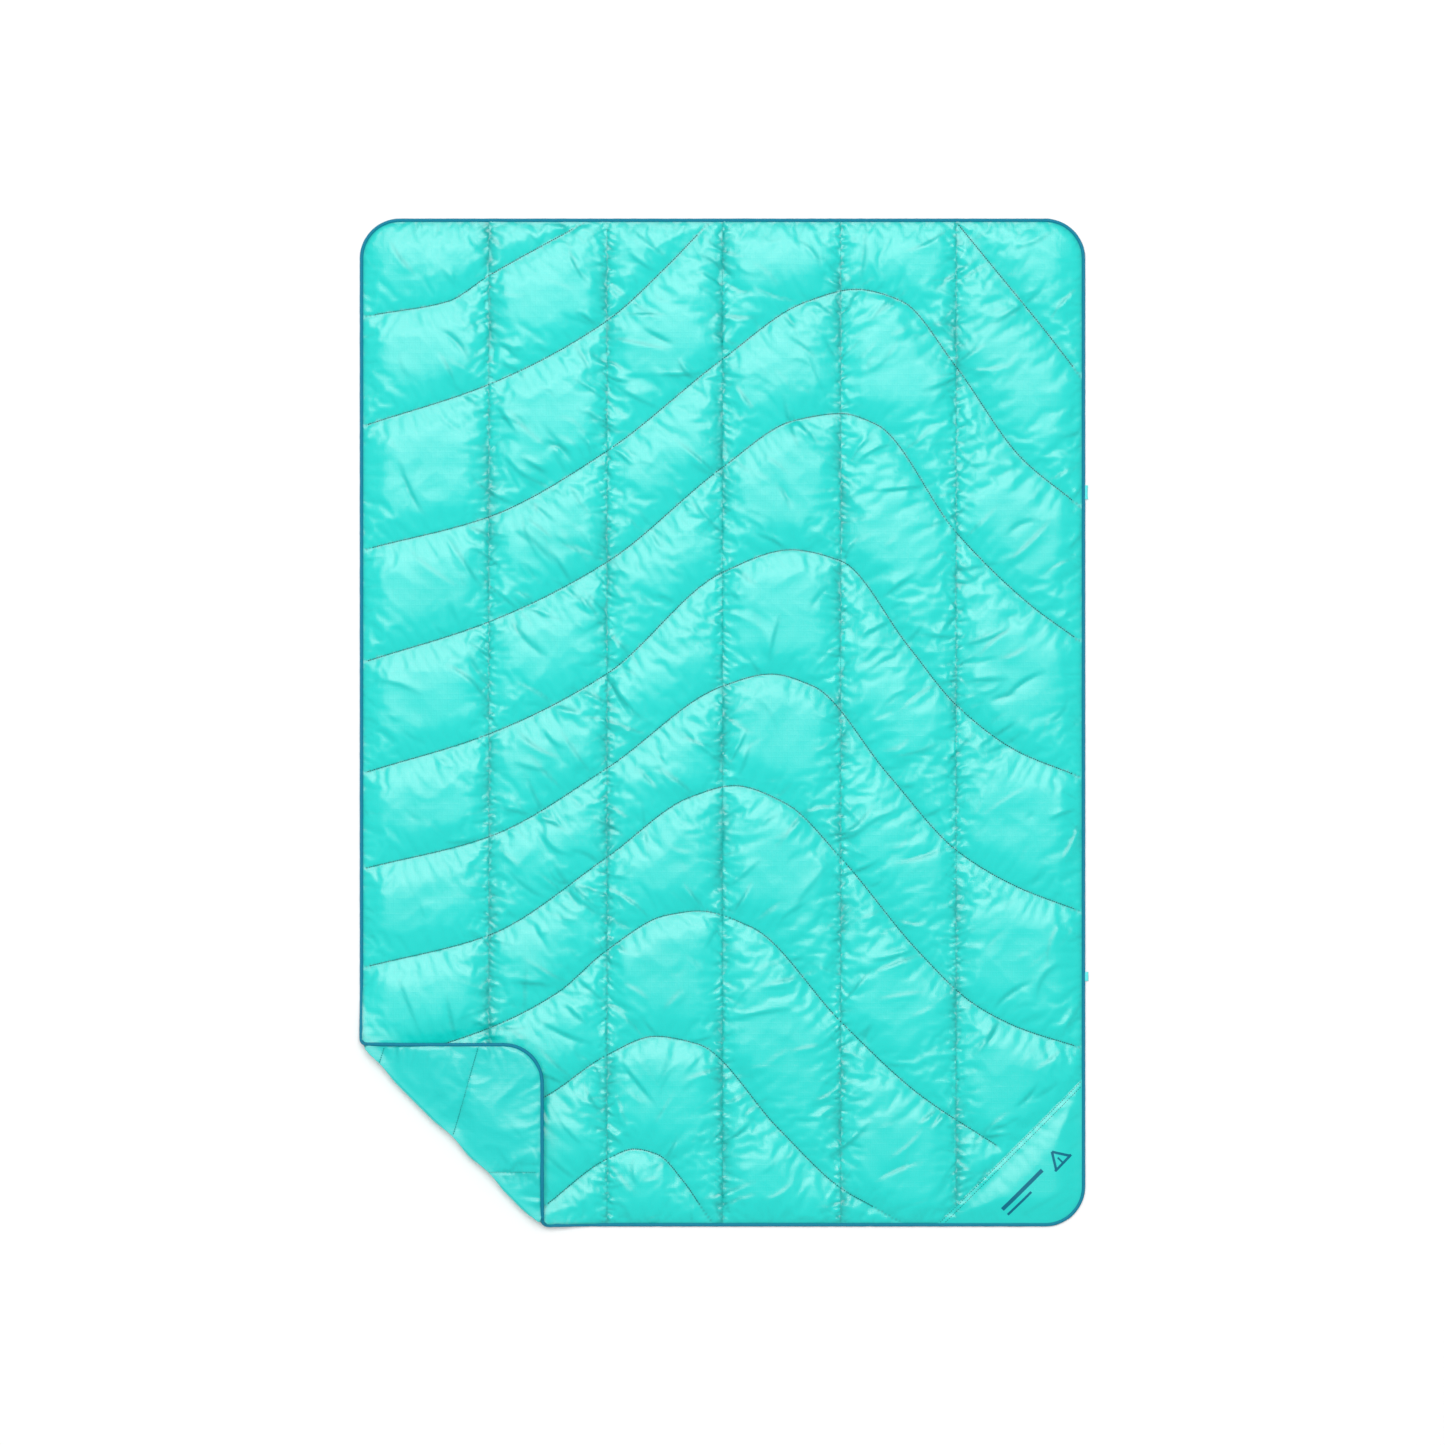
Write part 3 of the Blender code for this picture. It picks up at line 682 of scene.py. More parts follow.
def used_only(triangles, *arrays):
    """The triangles renumbered for only the points they use, and those rows of each array."""
    used, local = np.unique(triangles, return_inverse=True)
    return (local.reshape(triangles.shape), *(array[used] for array in arrays))


def grid_faces(rows, columns, closed, flip):
    """Quads between the points of a grid given row by row, open or closed round."""
    faces = []
    for k in range(rows - 1):
        for i in range(columns if closed else columns - 1):
            j = (i + 1) % columns
            a, b, c, d = (row * columns + n for row, n in ((k, i), (k, j), (k + 1, j), (k + 1, i)))
            faces.append((a, b, c, d) if flip else (a, d, c, b))
    return faces


def surface_of(points, triangles):
    return BVHTree.FromPolygons([tuple(p) for p in points], [tuple(f) for f in triangles])


def heights_on(surface, places, missing):
    """Height of the surface at each place of the plane, seen from above."""
    hits = (surface.ray_cast(Vector((x, y, 0.2)), Vector((0, 0, -1)))[0] for x, y in places)
    return np.array([hit.z if hit else missing for hit in hits])


def bend_across_middle(obj):
    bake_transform(obj)


def declared(obj, slot, body, *nodes):
    """The piece with its slot (not used), the CAD nodes it replaces, and its body, or None for both halves.
    """
    if nodes:
        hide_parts(*nodes)
    if body:
        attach(obj, body)
    else:
        bend_across_middle(obj)
    return obj


def bend_round_fold(obj, low, high):
    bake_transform(obj)


# ---- materials


class Nodes:
    """Short calls for building a material's node tree."""

    def __init__(self, name, **values):
        self.material = bpy.data.materials.new(name)
        self.material.use_nodes = True
        self.tree = self.material.node_tree
        self.shader = self.tree.nodes["Principled BSDF"].inputs
        for key, value in values.items():
            self.shader[key.replace("_", " ").title().replace("Ior", "IOR")].default_value = value
        self.uv = self.node("ShaderNodeUVMap")
        self.uv.uv_map = "flat"

    def node(self, kind, **values):
        """A new node with its sockets set by name, or linked where a value is another socket."""
        made = self.tree.nodes.new(kind)
        for key, value in values.items():
            socket = made.inputs[key.replace("_", " ").title()]
            if isinstance(value, bpy.types.NodeSocket):
                self.tree.links.new(value, socket)
            else:
                socket.default_value = value
        return made

    def link(self, source, target):
        self.tree.links.new(source, self.shader[target])

    def scaled(self, scale, turn=0.0):
        made = self.node("ShaderNodeMapping", scale=scale, rotation=(0, 0, turn), vector=self.uv.outputs[0])
        return made.outputs[0]

    def noise(self, scale, detail=2.0, roughness=0.5, stretch=(1, 1, 1), turn=0.0):
        place = self.scaled(stretch, turn)
        made = self.node("ShaderNodeTexNoise", scale=scale, detail=detail, roughness=roughness, vector=place)
        return made.outputs["Fac"]

    def wave(self, scale, direction):
        made = self.node("ShaderNodeTexWave", scale=scale, vector=self.scaled((1, 1, 1)))
        made.bands_direction = direction
        return made.outputs["Fac"]

    def math(self, operation, a, b):
        made = self.tree.nodes.new("ShaderNodeMath")
        made.operation = operation
        self.tree.links.new(a, made.inputs[0])
        if isinstance(b, float):
            made.inputs[1].default_value = b
        else:
            self.tree.links.new(b, made.inputs[1])
        return made.outputs[0]

    def spread(self, value, low, high):
        return self.node("ShaderNodeMapRange", value=value, to_min=low, to_max=high).outputs["Result"]

    def mix(self, factor, first, second):
        made = self.tree.nodes.new("ShaderNodeMix")
        made.data_type = "RGBA"
        self.tree.links.new(factor, made.inputs[0])
        for socket, colour in ((made.inputs[6], first), (made.inputs[7], second)):
            if isinstance(colour, tuple):
                socket.default_value = (*colour, 1)
            else:
                self.tree.links.new(colour, socket)
        return made.outputs[2]

    def bump(self, height, distance, strength):
        return self.node("ShaderNodeBump", height=height, distance=distance, strength=strength)


def ripstop(name, light, deep, roughness, crinkle):
    """Thin coated ripstop: fine weave, a grid of heavier threads, soft creases, a satin sheen and painted
    shade in its folds.
    """
    n = Nodes(
        name, base_color=(*light, 1), roughness=roughness, sheen_weight=0.03, sheen_roughness=0.35,
        specular_ior_level=0.65, specular_tint=(1.0, 0.60, 0.64, 1.0), ior=1.55,
    )
    colour = n.mix(n.spread(n.noise(5.0, 3.0, 0.55), -0.2, 1.2), deep, light)
    # Painted shade: a darker, greyer teal mixed in by a per-point attribute, in the cloth's tight folds,
    # creases and seams.
    painted_shade = n.tree.nodes.new("ShaderNodeAttribute")
    painted_shade.attribute_name = "painted_shade"
    n.link(n.mix(painted_shade.outputs["Fac"], colour, PAINTED_SHADE_COLOUR), "Base Color")
    n.link(n.spread(n.noise(60.0, 3.0), roughness - 0.05, roughness + 0.05), "Roughness")
    threads = n.math("MAXIMUM", n.wave(420.0, "X"), n.wave(420.0, "Y"))
    grid_x, grid_y = (n.math("POWER", n.wave(33.0, way), 24.0) for way in "XY")
    weave = n.math("ADD", n.math("MULTIPLY", threads, 0.3), n.math("MAXIMUM", grid_x, grid_y))
    small = n.bump(weave, 0.00010, 0.5)
    soft = n.bump(n.noise(38.0, 4.0, 0.6, (1.0, 0.55, 1.0), 0.6), crinkle, 0.55)
    n.tree.links.new(small.outputs[0], soft.inputs["Normal"])
    n.link(soft.outputs[0], "Normal")
    return n.material


def fibre(name, light, deep, tone, rough, roughness, relief, **values):
    """A woven, spun or printed surface: noise in its colour and roughness, and relief from its fibres."""
    n = Nodes(name, base_color=(*light, 1), roughness=sum(roughness) / 2, **values)
    n.link(n.mix(n.noise(*tone), deep, light), "Base Color")
    n.link(n.spread(n.noise(*rough), *roughness), "Roughness")
    pattern, distance, strength = relief
    n.link(n.bump(pattern(n), distance, strength).outputs[0], "Normal")
    return n.material


def woven(name, light, deep, scale, **values):
    """Tape or webbing, with ribs both ways."""

    def ribs(n):
        return n.math("ADD", n.wave(scale, "X"), n.math("MULTIPLY", n.wave(scale, "Y"), 0.6))

    return fibre(name, light, deep, (220.0,), (500.0,), (0.47, 0.63), (ribs, 0.00012, 0.7), **values)


def thread(name, light, deep):
    """Twisted polyester thread: ply bands and a soft shine."""
    plies = (lambda n: n.wave(900.0, "DIAGONAL"), 0.00008, 0.6)
    return fibre(name, light, deep, (900.0, 1.0), (700.0,), (0.42, 0.6), plies, specular_ior_level=0.15)


# Painted shade colour: a darker, greyer teal for the cloth's tight folds and creases.
PAINTED_SHADE_COLOUR = (0.008, 0.350, 0.325)
FACE = ripstop("face_ripstop", (0.006, 0.715, 0.648), (0.003, 0.675, 0.610), 0.34, 0.0012)
BACK = ripstop("back_ripstop", (0.006, 0.675, 0.625), (0.003, 0.640, 0.590), 0.38, 0.0012)
PATCH = ripstop("patch_ripstop", (0.006, 0.700, 0.630), (0.003, 0.660, 0.600), 0.33, 0.0010)
BINDING = woven(
    "binding_tape", (0.001, 0.240, 0.360), (0.001, 0.190, 0.300), 500.0, specular_ior_level=0.25
)
WEBBING = woven(
    "loop_webbing", (0.130, 0.840, 0.820), (0.080, 0.740, 0.730), 420.0,
    sheen_weight=0.2, specular_ior_level=0.4,
)
# Partly the thread's own dark teal, partly painted shadow of the groove along each wave seam.
WAVE_THREAD_AND_SHADOW = thread("wave_thread_teal_and_painted_shadow", (0.010, 0.085, 0.092), (0.006, 0.060, 0.066))
BACK_THREAD = thread("back_thread_turquoise", (0.010, 0.330, 0.320), (0.006, 0.260, 0.250))
COLUMN_THREAD = thread("column_thread_turquoise", (0.020, 0.640, 0.590), (0.012, 0.520, 0.480))
BATTING = fibre(
    "insulation_batting", (0.90, 0.90, 0.88), (0.70, 0.71, 0.70), (90.0, 4.0), (140.0, 3.0), (0.8, 1.0),
    (lambda n: n.noise(260.0, 5.0), 0.0010, 0.7),
)
INK = fibre(
    "printed_ink", (0.002, 0.17, 0.26), (0.001, 0.13, 0.21), (400.0,), (300.0,), (0.38, 0.55),
    (lambda n: n.wave(420.0, "X"), 0.00006, 0.4), specular_ior_level=0.25,
)


# ---- face and back cloth

def by_fold(points, triangles):
    """The triangles of the flat part and those of the corner."""
    in_corner = points[triangles].mean(axis=1).sum(axis=1) < FOLD_SUM
    return triangles[~in_corner], triangles[in_corner]


def cloth(name, slot, triangles, layer, material, nodes, corner=False):
    """One piece of a cloth. The layer is the whole cloth's points, flat plan and painted shade."""
    faces, points, uv, painted_shade = used_only(triangles, *layer)
    obj = add_piece(name, turned(points) if corner else points, faces, material, uv)
    set_painted_shade(obj, painted_shade)
    return declared(obj, slot, "corner_flap" if corner else None, *nodes)


def valleys(points, triangles, z):
    """How sharply the surface bends upward at each point, from 0 to 1."""
    pairs = sides_of(triangles)
    rise, spread, count = np.zeros(len(z)), np.zeros(len(z)), np.zeros(len(z))
    square = ((points[pairs[:, 0]] - points[pairs[:, 1]]) ** 2).sum(axis=1)
    for a, b in ((0, 1), (1, 0)):
        np.add.at(rise, pairs[:, a], z[pairs[:, b]] - z[pairs[:, a]])
        np.add.at(spread, pairs[:, a], square)
        np.add.at(count, pairs[:, a], 1)
    return np.clip(4 * rise / spread / 500, 0, 1)


def painted_shade_at(points, wave_away):
    """Painted shade in the tight gathers beside the straight seams, in the crease of each other seam and
    along the binding.
    """
    shade = 0.60 * np.exp(-wave_away / 0.0022) + 0.25 * np.exp(-sheet_depth(points) / 0.004)
    for x, side in COLUMN_SIDES:
        away = (points[:, 0] - x) * side
        on = (away > -1e-6) & (away < 0.05)
        y, away = points[on, 1], np.maximum(away[on], 0)
        # Painted shade: broad dark bands beside some stretches of each seam, and a zigzag of dark teeth in
        # its gathers.
        broad = np.maximum(value_noise(LENGTH + 0.2, 0.075)(y), 0)
        teeth = value_noise(LENGTH + 0.2, 0.0046)(y + 0.5 * away)
        shade[on] += np.clip(0.36 + 0.75 * teeth, 0, 1) * 0.62 * np.exp(-((away / 0.0050) ** 1.5))
        shade[on] += 0.50 * broad * np.exp(-((away / 0.0140) ** 1.6))
    return np.clip(shade, 0, 0.85)


# Painted shade on the face: seams and gathers, upward bends of the surface and the foot of each crease.
face_painted_shade = painted_shade_at(plan, wave_away) + 0.5 * valleys(plan, fine, face_z) + 0.34 * face_shade
face_painted_shade = np.minimum(face_painted_shade, 0.85)
# Painted shade on the back, weaker than on the face.
back_painted_shade = painted_shade_at(flat, back_wave_away) * 0.5 + 0.2 * back_shade
back_painted_shade = np.minimum(back_painted_shade + 0.4 * valleys(flat, triangles, -back_z), 0.7)
face_layer = (face_points, plan, face_painted_shade)
back_layer = (back_points, flat, back_painted_shade)
main_faces, corner_faces = by_fold(plan, fine)
on_right = plan[main_faces].mean(axis=1)[:, 0] > 0
face_left, face_right = (
    cloth(f"face_cloth_{side}", "face_fabric", main_faces[chosen], face_layer, FACE, [f"face_shell_{side}"])
    for side, chosen in (("left", ~on_right), ("right", on_right))
)
face_corner = cloth(
    "face_cloth_corner", "face_fabric", corner_faces, face_layer, FACE, ["face_shell_corner"], True
)
main_faces, corner_faces = by_fold(flat, triangles[:, ::-1])
back_cloth = cloth(
    "back_cloth", "back_fabric", main_faces, back_layer, BACK, ["back_shell_left", "back_shell_right"]
)
back_corner = cloth(
    "back_cloth_corner", "back_fabric", corner_faces, back_layer, BACK, ["back_shell_corner"], True
)


# ---- cloth round the corner's fold


def fold_strip(steps=10):
    """The back cloth that runs round the fold, from the underside up to the turned-back corner."""
    on_line = np.nonzero(np.abs(flat.sum(axis=1) - FOLD_SUM) < 1e-6)[0]
    on_line = on_line[np.argsort(flat[on_line, 0])]
    low = back_points[on_line]
    high = turned(low)
    cuts = [crossings(lines["fold"], lines[name]) for name in ("wave_h", "wave_i", "column_1")]
    notches = np.array([cut[0][1] for cut in cuts if cut])
    out = np.array((-1.0, -1.0)) / ROOT
    ends = np.minimum(np.arange(len(on_line)), np.arange(len(on_line))[::-1])
    away = np.min(np.linalg.norm(flat[on_line, None] - notches[None], axis=2), axis=1)
    bulge = 0.0006 + 0.0050 * smoothstep(away / 0.05) * smoothstep(ends / 6.0)
    bulge += 0.0005 * value_noise(1.4, 0.02)(flat[on_line, 0] * ROOT)
    rows = []
    for step in range(steps + 1):
        angle = math.pi * (step / steps - 0.5)
        row = (low + high) / 2 + (high - low) / 2 * math.sin(angle)
        row[:, :2] += out * (bulge * math.cos(angle))[:, None]
        rows.append(row)
    uv = np.vstack([flat[on_line] + out * 0.003 * k for k in range(steps + 1)])
    faces = grid_faces(steps + 1, len(on_line), False, False)
    return add_piece("fold_cloth", np.vstack(rows), faces, BACK, uv)


fold_cloth = fold_strip()
bend_round_fold(fold_cloth, FOLD_BACK_Z, 2 * HINGE_Z - FOLD_BACK_Z)


# ---- insulation


def insulation_layer():
    """Batting just inside the two cloths, pressed thin under each seam."""
    surface = surface_of(face_points, fine)
    over = np.full(len(flat), 1.0)
    for shift in ((0, 0), (0.004, 0), (-0.004, 0), (0, 0.004), (0, -0.004)):
        over = np.minimum(over, heights_on(surface, back_points[:, :2] + shift, 1.0))
    room = np.maximum(over - back_z, 0.0004)
    open_share = smoothstep(room / 0.004)
    low = back_z + (0.42 - 0.17 * open_share) * room
    top = back_z + (0.50 + 0.16 * open_share) * room - 0.0014 * smoothstep((room - 0.001) / 0.006)
    return np.maximum(top, low + 0.0001), low


FILL_GAP = 0.0010


def closed_layer(name, found, made, top, low, turn):
    """A closed sheet of batting between two heights, drawn back from the fold line."""
    made, found, top, low = used_only(made, found, top, low)
    on_line = np.abs(found.sum(axis=1) - FOLD_SUM) < 1e-5
    found[on_line] += FILL_GAP * (-1 if turn else 1)
    count = len(found)
    points = np.vstack([np.column_stack([found, low]), np.column_stack([found, top])])
    sides = [(a, b) for t in made.tolist() for a, b in zip(t, t[1:] + t[:1])]
    paired = set(sides)
    faces = [tuple(t[::-1]) for t in made] + [tuple(t + count) for t in made]
    faces += [(a, b, b + count, a + count) for a, b in sides if (b, a) not in paired]
    if turn:
        points = turned(points)
    return add_piece(name, points, faces, BATTING, np.vstack([found, found]))


top, low = insulation_layer()
side = flat[triangles].mean(axis=1).sum(axis=1) > FOLD_SUM
insulation = closed_layer("insulation", back_points[:, :2], triangles[side], top, low, False)
insulation_corner = closed_layer(
    "insulation_corner_fill", back_points[:, :2], triangles[~side], top, low, True
)
declared(insulation, "insulation", None, "insulation_left", "insulation_right")
declared(insulation_corner, "insulation", "corner_flap", "insulation_corner")


# ---- stitches


def level_on(points, side):
    """Height of the cloth at a seam, on the face (1) or the back (-1), with the fold's rise."""
    at_fold = FOLD_FACE_Z if side > 0 else FOLD_BACK_Z
    return shaped_by_fold(points, quilt_level(points) + side * CLOTH_HALF, at_fold, FOLD_REACH)


STITCH_DIP = 0.0005


def stitch_row(path, length, gap, thick, lift, side):
    """Points and faces of a row of stitches, each a thin body that dips into the cloth at both ends."""
    starts = np.arange(gap, arc_lengths(path)[-1] - length, length + gap)
    points, faces = [], []
    for share, out in ((0.0, -STITCH_DIP), (0.22, lift), (0.78, lift), (1.0, -STITCH_DIP)):
        here, ahead, behind = (at_lengths(path, starts + share * length + d) for d in (0, 0.001, -0.001))
        along = ahead - behind
        along /= np.linalg.norm(along, axis=1)[:, None]
        across = np.column_stack([-along[:, 1], along[:, 0]])
        z = level_on(here, side) + side * out
        if share in (0.0, 1.0):
            points.append(np.column_stack([here, z]))
            continue
        for turn in range(4):
            angle = math.pi / 2 * turn
            place = here + across * thick * math.cos(angle)
            points.append(np.column_stack([place, z + thick * math.sin(angle)]))
    stacked = np.stack(points, axis=1)
    for k in range(len(starts)):
        base = k * 10
        for turn in range(4):
            a, b = 1 + turn, 1 + (turn + 1) % 4
            faces.append((base, base + b, base + a))
            faces.append((base + a, base + b, base + b + 4, base + a + 4))
            faces.append((base + 9, base + a + 4, base + b + 4))
    return stacked.reshape(-1, 3), faces


def stitches(name, path, material, length, thick, turn):
    """A seam's thread on the face and on the back, as one piece."""
    over, over_faces = stitch_row(path, length, 0.0005, thick, 0.0003, 1)
    under, under_faces = stitch_row(path, length, 0.0005, thick, 0.0003, -1)
    points = np.vstack([over, under])
    faces = over_faces + [tuple(k + len(over) for k in f) for f in under_faces]
    obj = add_piece(name, turned(points) if turn else points, faces, material, points[:, :2])
    obj.data.materials.append(BACK_THREAD)
    below = np.arange(len(faces)) >= len(over_faces)
    obj.data.polygons.foreach_set("material_index", below.astype(np.int32))
    return obj


def runs_by_side(path):
    """The path split at the fold line, as (in the corner, points)."""
    cuts = crossings(path, fold_line)
    if not cuts:
        return [(path[len(path) // 2].sum() < FOLD_SUM, path)]
    place, point = cuts[0]
    k = math.floor(place)
    halves = [np.vstack([path[: k + 1], point]), np.vstack([point, path[k + 1 :]])]
    return [(h[len(h) // 2].sum() < FOLD_SUM, h) for h in halves if arc_lengths(h)[-1] > 0.012]


def seam_pieces(name, path, material, node_start, slot, length, thick):
    nodes = [n for n in sorted(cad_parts) if n.startswith(node_start)]
    for in_flap, run in runs_by_side(path):
        suffix = "_corner" if in_flap else ""
        obj = stitches(f"{name}_stitches{suffix}", run, material, length, thick, in_flap)
        mine = [n for n in nodes if n.endswith("_corner") == in_flap]
        declared(obj, slot, "corner_flap" if in_flap else None, *mine)


for name, knots in WAVES.items():
    path = wave_curve(knots, 0.0, 700)
    seam_pieces(f"wave_{name}", path, WAVE_THREAD_AND_SHADOW, f"seam_wave_{name}_", "wave_thread", 0.0036, 0.0009)
for i, line in enumerate(column_lines, 1):
    path = segment(line[0] + (0, 0.009), line[-1] - (0, 0.009), 500)
    seam_pieces(f"column_{i}", path, COLUMN_THREAD, f"seam_column_{i}", "column_thread", 0.0034, 0.00055)


# ---- edge binding

BINDING_INSET = 0.0030
BINDING_HALF, BINDING_HALF_HEIGHT = 0.0032, 0.0029
TURN, TURN_PULL = 0.011, 0.0062


def binding_tube(name, path, ends, wobble, sides=12):
    """A length of binding along a path in space, flat side down, with small gathers."""
    along = np.gradient(path, axis=0)
    along /= np.linalg.norm(along, axis=1)[:, None]
    across = np.cross((0.0, 0.0, 1.0), along)
    across /= np.linalg.norm(across, axis=1)[:, None]
    up = np.cross(along, across)
    lengths = arc_lengths(path)
    ripple = value_noise(8.0, 0.006)
    angles = 2 * math.pi * np.arange(sides) / sides
    points, uv = [], []
    for k, p in enumerate(path):
        grow = 1 + wobble * ripple(lengths[k] - 4.0 + angles * 0.004)
        ring = p + (BINDING_HALF * grow * np.cos(angles))[:, None] * across[k]
        points.append(ring + (BINDING_HALF_HEIGHT * grow * np.sin(angles))[:, None] * up[k])
        uv.append(np.column_stack([np.full(sides, lengths[k]), angles * BINDING_HALF]))
    faces = grid_faces(len(path), sides, True, True)
    if ends:
        faces.append(tuple(range(sides))[::-1])
        faces.append(tuple(range((len(path) - 1) * sides, len(path) * sides)))
    return add_piece(name, np.vstack(points), faces, BINDING, np.vstack(uv))


def binding_level(points):
    """The binding's middle height, which rises to the middle of the cloth at the fold line."""
    return shaped_by_fold(points, np.full(len(points), EDGE_Z), FOLD_MIDDLE_Z, 0.065)


def binding_runs():
    """The binding's middle line as (main run, corner run), cut at the fold line."""
    ring = rounded_outline(BINDING_INSET, 22, 260)
    sums = ring.sum(axis=1)
    inside = np.nonzero(sums < FOLD_SUM)[0]
    first, last = inside[0], inside[-1]
    x = -HALF_W + BINDING_INSET
    y = -HALF_L + BINDING_INSET
    left_end = np.array((x, FOLD_SUM - x))
    front_end = np.array((FOLD_SUM - y, y))
    corner = np.vstack([left_end, ring[first : last + 1], front_end])
    main = np.vstack([front_end, ring[last + 1 : -1], ring[:first], left_end])
    return main, corner


def shortened(path, margin):
    """The path with a length taken off each of its ends."""
    lengths = arc_lengths(path)
    end = lengths[-1] - margin
    inside = lengths[(lengths > margin + 0.001) & (lengths < end - 0.001)]
    return at_lengths(path, np.concatenate([[margin], inside, [end]]))


main_run, corner_run = binding_runs()
main_run = shortened(np.column_stack([main_run, binding_level(main_run)]), TURN)
corner_run = turned(shortened(np.column_stack([corner_run, binding_level(corner_run)]), TURN))
binding = binding_tube("edge_binding", main_run, True, 0.05)
binding_corner = binding_tube("edge_binding_corner", corner_run, True, 0.05)
declared(binding, "binding", None, "binding_left", "binding_right", "binding_front_left")
declared(binding_corner, "binding", "corner_flap", "binding_corner")


def binding_turn(name, flat_run, turned_run):
    """The short length of binding round an end of the fold. Each run is given from its end inward."""
    t = np.linspace(0, 1, 22)[:, None]
    (start, before), (end, after) = flat_run, turned_run
    a = start + (start - before) / np.linalg.norm(start - before) * TURN_PULL
    b = end + (end - after) / np.linalg.norm(end - after) * TURN_PULL
    path = (1 - t) ** 3 * start + 3 * t * (1 - t) ** 2 * a + 3 * t * t * (1 - t) * b + t**3 * end
    obj = binding_tube(name, path, False, 0.03)
    bend_round_fold(obj, *sorted((start[2], end[2])))


binding_turn("edge_binding_turn_left", main_run[[-1, -2]], corner_run[[0, 1]])
binding_turn("edge_binding_turn_front", main_run[[0, 1]], corner_run[[-1, -2]])


# ---- corner patch


def patch_piece():
    """A second layer of cloth over the front right corner. Returns its surface."""
    chosen = fine[patch_depth(plan[fine].mean(axis=1)) > 1e-6]
    faces, uv, points, painted_shade = used_only(chosen, plan, face_points, face_painted_shade)
    inner = smoothstep(patch_depth(uv) / 0.012) * smoothstep(sheet_depth(uv) / 0.01)
    points[:, 2] += 0.0005 + 0.0004 * inner
    patch = add_piece("corner_patch_cloth", points, faces, PATCH, uv)
    # The patch carries the face cloth's painted shade at half strength.
    set_painted_shade(patch, painted_shade * 0.5)
    declared(patch, "patch_fabric", "right_half", "corner_patch")
    return surface_of(points, faces)


patch_surface = patch_piece()


def patch_stitches(name, depth, node):
    """One row of stitches along the patch's long edge."""
    leg = PATCH_LEG - depth * ROOT
    path = trimmed(segment((HALF_W - leg, -HALF_L), (HALF_W, -HALF_L + leg), 300), [outline])
    points, faces = stitch_row(shortened(path, 0.002), 0.0034, 0.0012, 0.0005, 0.0002, 1)
    uv = points[:, :2]
    points[:, 2] += heights_on(patch_surface, uv, SEAM_Z) - level_on(uv, 1)
    obj = add_piece(name, points, faces, WAVE_THREAD_AND_SHADOW, uv)
    declared(obj, "wave_thread", "right_half", node)


patch_stitches("patch_stitches_outer", 0.0018, "patch_stitch_outer")
patch_stitches("patch_stitches_inner", 0.0085, "patch_stitch_inner")

# Each stroke of the print: its start, its end and half its width, along and across the patch's diagonal
BARS = (((-0.086, 0.006), (0.016, 0.006), 0.0036), ((-0.086, -0.008), (-0.026, -0.008), 0.0022))
TENT = (
    ((0.034, -0.012), (0.052, 0.017), 0.0023), ((0.052, 0.017), (0.070, -0.012), 0.0023),
    ((0.031, -0.012), (0.073, -0.012), 0.0023), ((0.052, -0.012), (0.052, 0.002), 0.0016),
)
MARK_MIDDLE = (0.574, -0.829)


def printed_mark(across=5):
    """A plain printed sign: a tent outline and two bars, along the patch's diagonal."""
    points, faces = [], []
    for start, end, half in (*BARS, *TENT):
        run = np.subtract(end, start)
        length = np.linalg.norm(run)
        side = np.array((-run[1], run[0])) / length
        count = max(4, int(length / 0.002))
        faces += [tuple(k + len(points) for k in f) for f in grid_faces(count + 1, across, False, False)]
        for share in np.linspace(0, 1, count + 1):
            points += [start + run * share + side * half * way for way in np.linspace(-1, 1, across)]
    uv = MARK_MIDDLE + np.array(points) @ ((1.0, 1.0), (-1.0, 1.0)) / ROOT
    points = np.column_stack([uv, heights_on(patch_surface, uv, SEAM_Z) + 0.00022])
    declared(add_piece("printed_mark", points, faces, INK, uv), "binding", "right_half")


printed_mark()


# ---- webbing loops


def webbing_loop(name, y, width, recess, steps=16):
    """Webbing folded in two with a rounded fold and an eye, its ends under the binding."""
    start, end = HALF_W - 0.0035, HALF_W + 0.0058
    thick, eye = 0.0008, 0.0007
    outer, inner = (
        [(end - thick - eye + r * math.cos(a), r * math.sin(a)) for a in math.pi * np.linspace(0.5, -0.5, 9)]
        for r in (thick + eye, eye)
    )
    profile = [(start, thick + eye), *outer, (start, -thick - eye), (start, -eye), *inner[::-1], (start, eye)]
    count = len(profile)
    points, uv = [], []
    for t in np.linspace(-1, 1, steps + 1):
        for index, (x, z) in enumerate(profile):
            pulled = x - recess * (1 - t**4) * (x > HALF_W + 0.002)
            points.append((pulled, y + t * width / 2, EDGE_Z + z))
            uv.append((index * 0.0008, t * width / 2))
    faces = grid_faces(steps + 1, count, True, False)
    faces += [tuple(range(count)), tuple(range(steps * count, (steps + 1) * count))[::-1]]
    obj = add_piece(f"webbing_loop_{name}", points, faces, WEBBING, uv)
    obj.data.set_sharp_from_angle(angle=math.radians(50))
    declared(obj, "webbing", "right_half", f"edge_loop_{name}")


webbing_loop("upper", *LOOPS["upper"], 0.0014)
webbing_loop("lower", *LOOPS["lower"], 0.0)
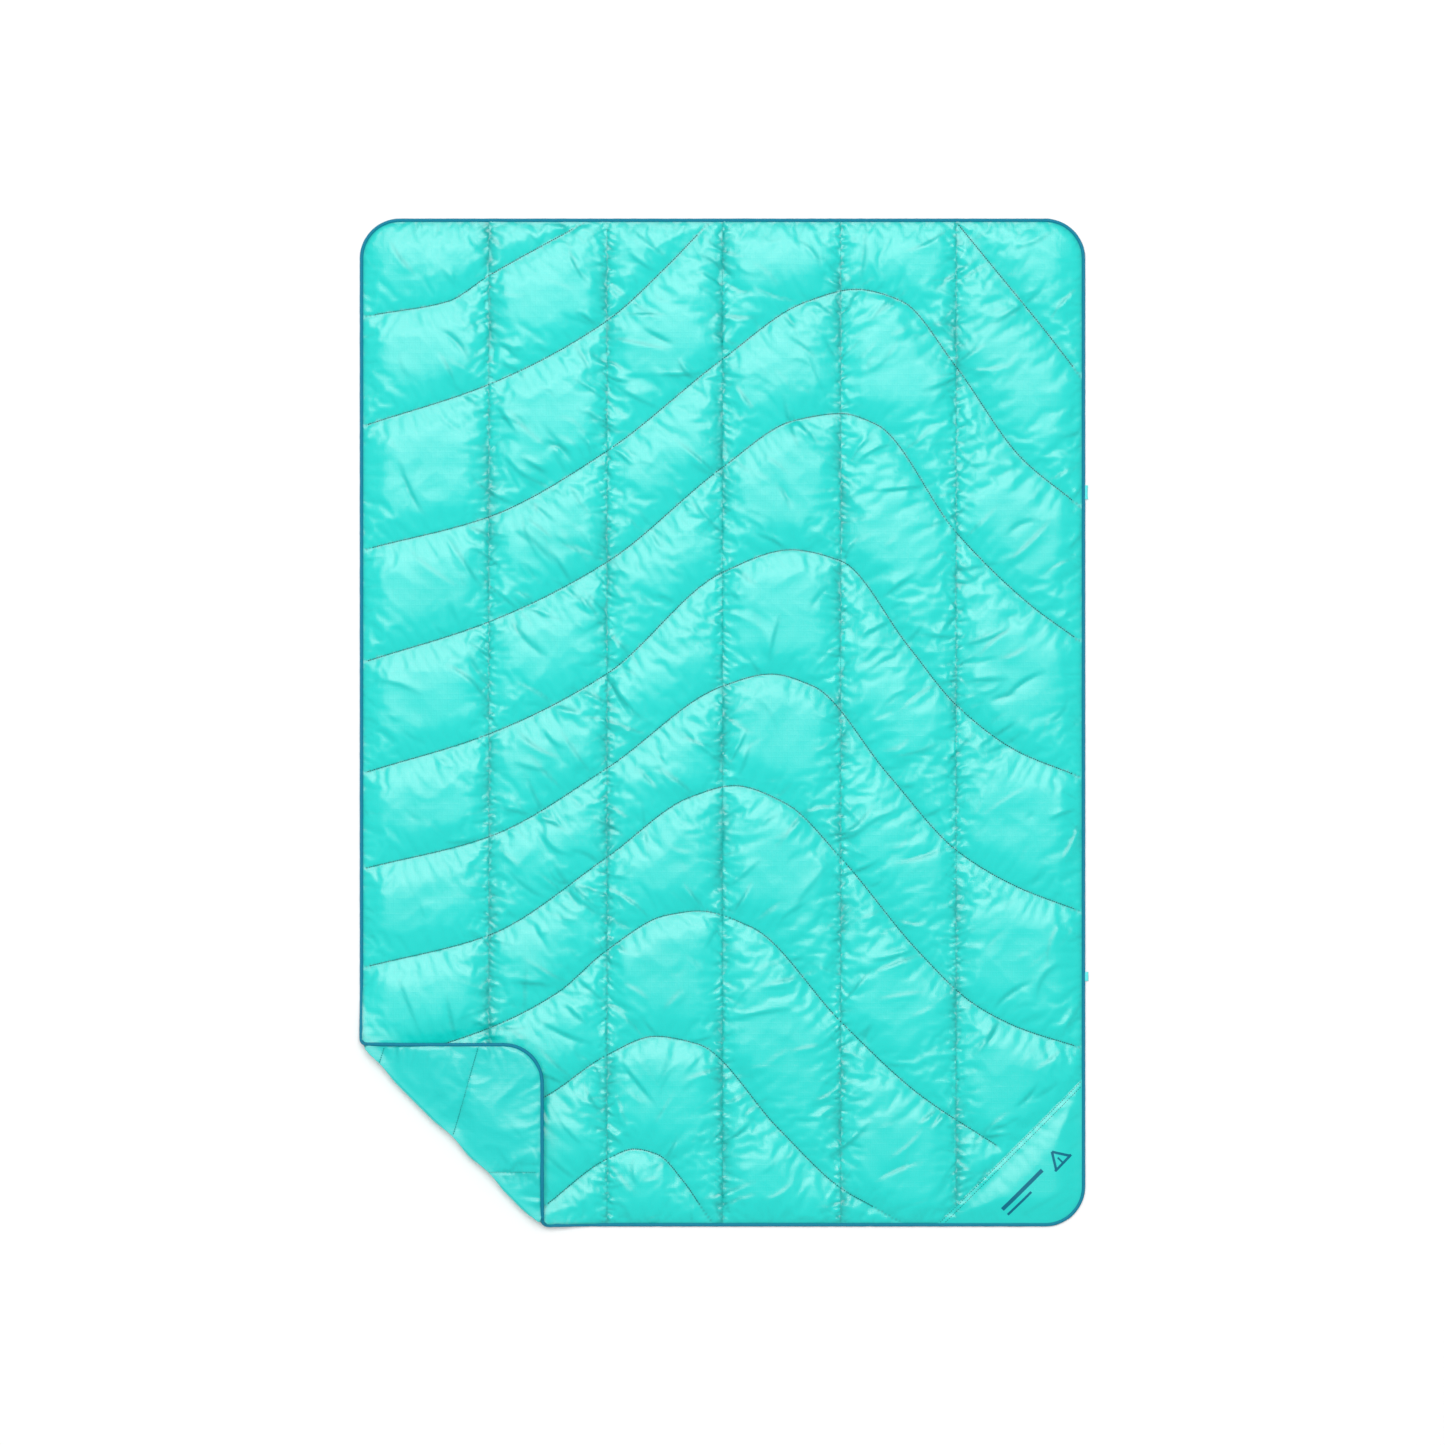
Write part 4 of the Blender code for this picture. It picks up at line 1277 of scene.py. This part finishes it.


# ---- floor, light and camera


def add_floor(radius, sides=96):
    angles = 2 * math.pi * np.arange(sides) / sides
    rim = np.column_stack([radius * np.cos(angles), radius * np.sin(angles), np.zeros(sides)])
    mesh = bpy.data.meshes.new("floor")
    mesh.from_pydata(rim.tolist(), [], [tuple(range(sides))])
    pale = Nodes("pale_floor", base_color=(0.93, 0.93, 0.93, 1), roughness=0.9, specular_ior_level=0.1)
    mesh.materials.append(pale.material)
    add_object("floor", mesh)


def add_light(name, place, aim, size, power, shine):
    """A softbox that either lights the scene evenly or only shines in it."""
    light = bpy.data.lights.new(name, "AREA")
    light.size = size
    light.energy = power
    obj = add_object(name, light)
    obj.location = place
    obj.rotation_euler = (Vector(aim) - Vector(place)).to_track_quat("-Z", "Y").to_euler()
    obj.visible_camera = False
    obj.visible_diffuse = not shine
    obj.visible_glossy = shine


def add_camera(lens=135, sensor=36, view=2.631):
    """Straight above, with a long lens. The picture is as wide as view, in metres on the floor."""
    camera = bpy.data.cameras.new("camera")
    camera.lens = lens
    camera.sensor_width = sensor
    camera.clip_end = 60
    obj = add_object("camera", camera)
    obj.location = (CENTRE_X, 0.0, view * lens / sensor)
    bpy.context.scene.camera = obj


def add_world(strength, seen):
    """An even white room: its light's strength, and the strength the camera sees behind the floor."""
    world = bpy.data.worlds.new("studio")
    world.use_nodes = True
    tree = world.node_tree
    path, mix = (tree.nodes.new(f"ShaderNode{kind}") for kind in ("LightPath", "MixShader"))
    tree.links.new(path.outputs["Is Camera Ray"], mix.inputs[0])
    walls = tree.nodes["Background"], tree.nodes.new("ShaderNodeBackground")
    for k, (wall, power) in enumerate(zip(walls, (strength, seen)), 1):
        wall.inputs["Color"].default_value = (1, 1, 1, 1)
        wall.inputs["Strength"].default_value = power
        tree.links.new(wall.outputs[0], mix.inputs[k])
    tree.links.new(mix.outputs[0], tree.nodes["World Output"].inputs["Surface"])
    bpy.context.scene.world = world


add_floor(8.5)
add_light("back_softbox", (-1.4, 8.4, 15.8), (0.0, 0.0, 0.0), 14.5, 2900.0, True)
add_light("overhead_softbox", (-0.5, 2.4, 12.0), (0.0, 0.0, 0.0), 8.0, 1305.0, False)
add_world(0.40, 0.90)
add_camera()
bpy.context.scene.view_settings.view_transform = "Standard"
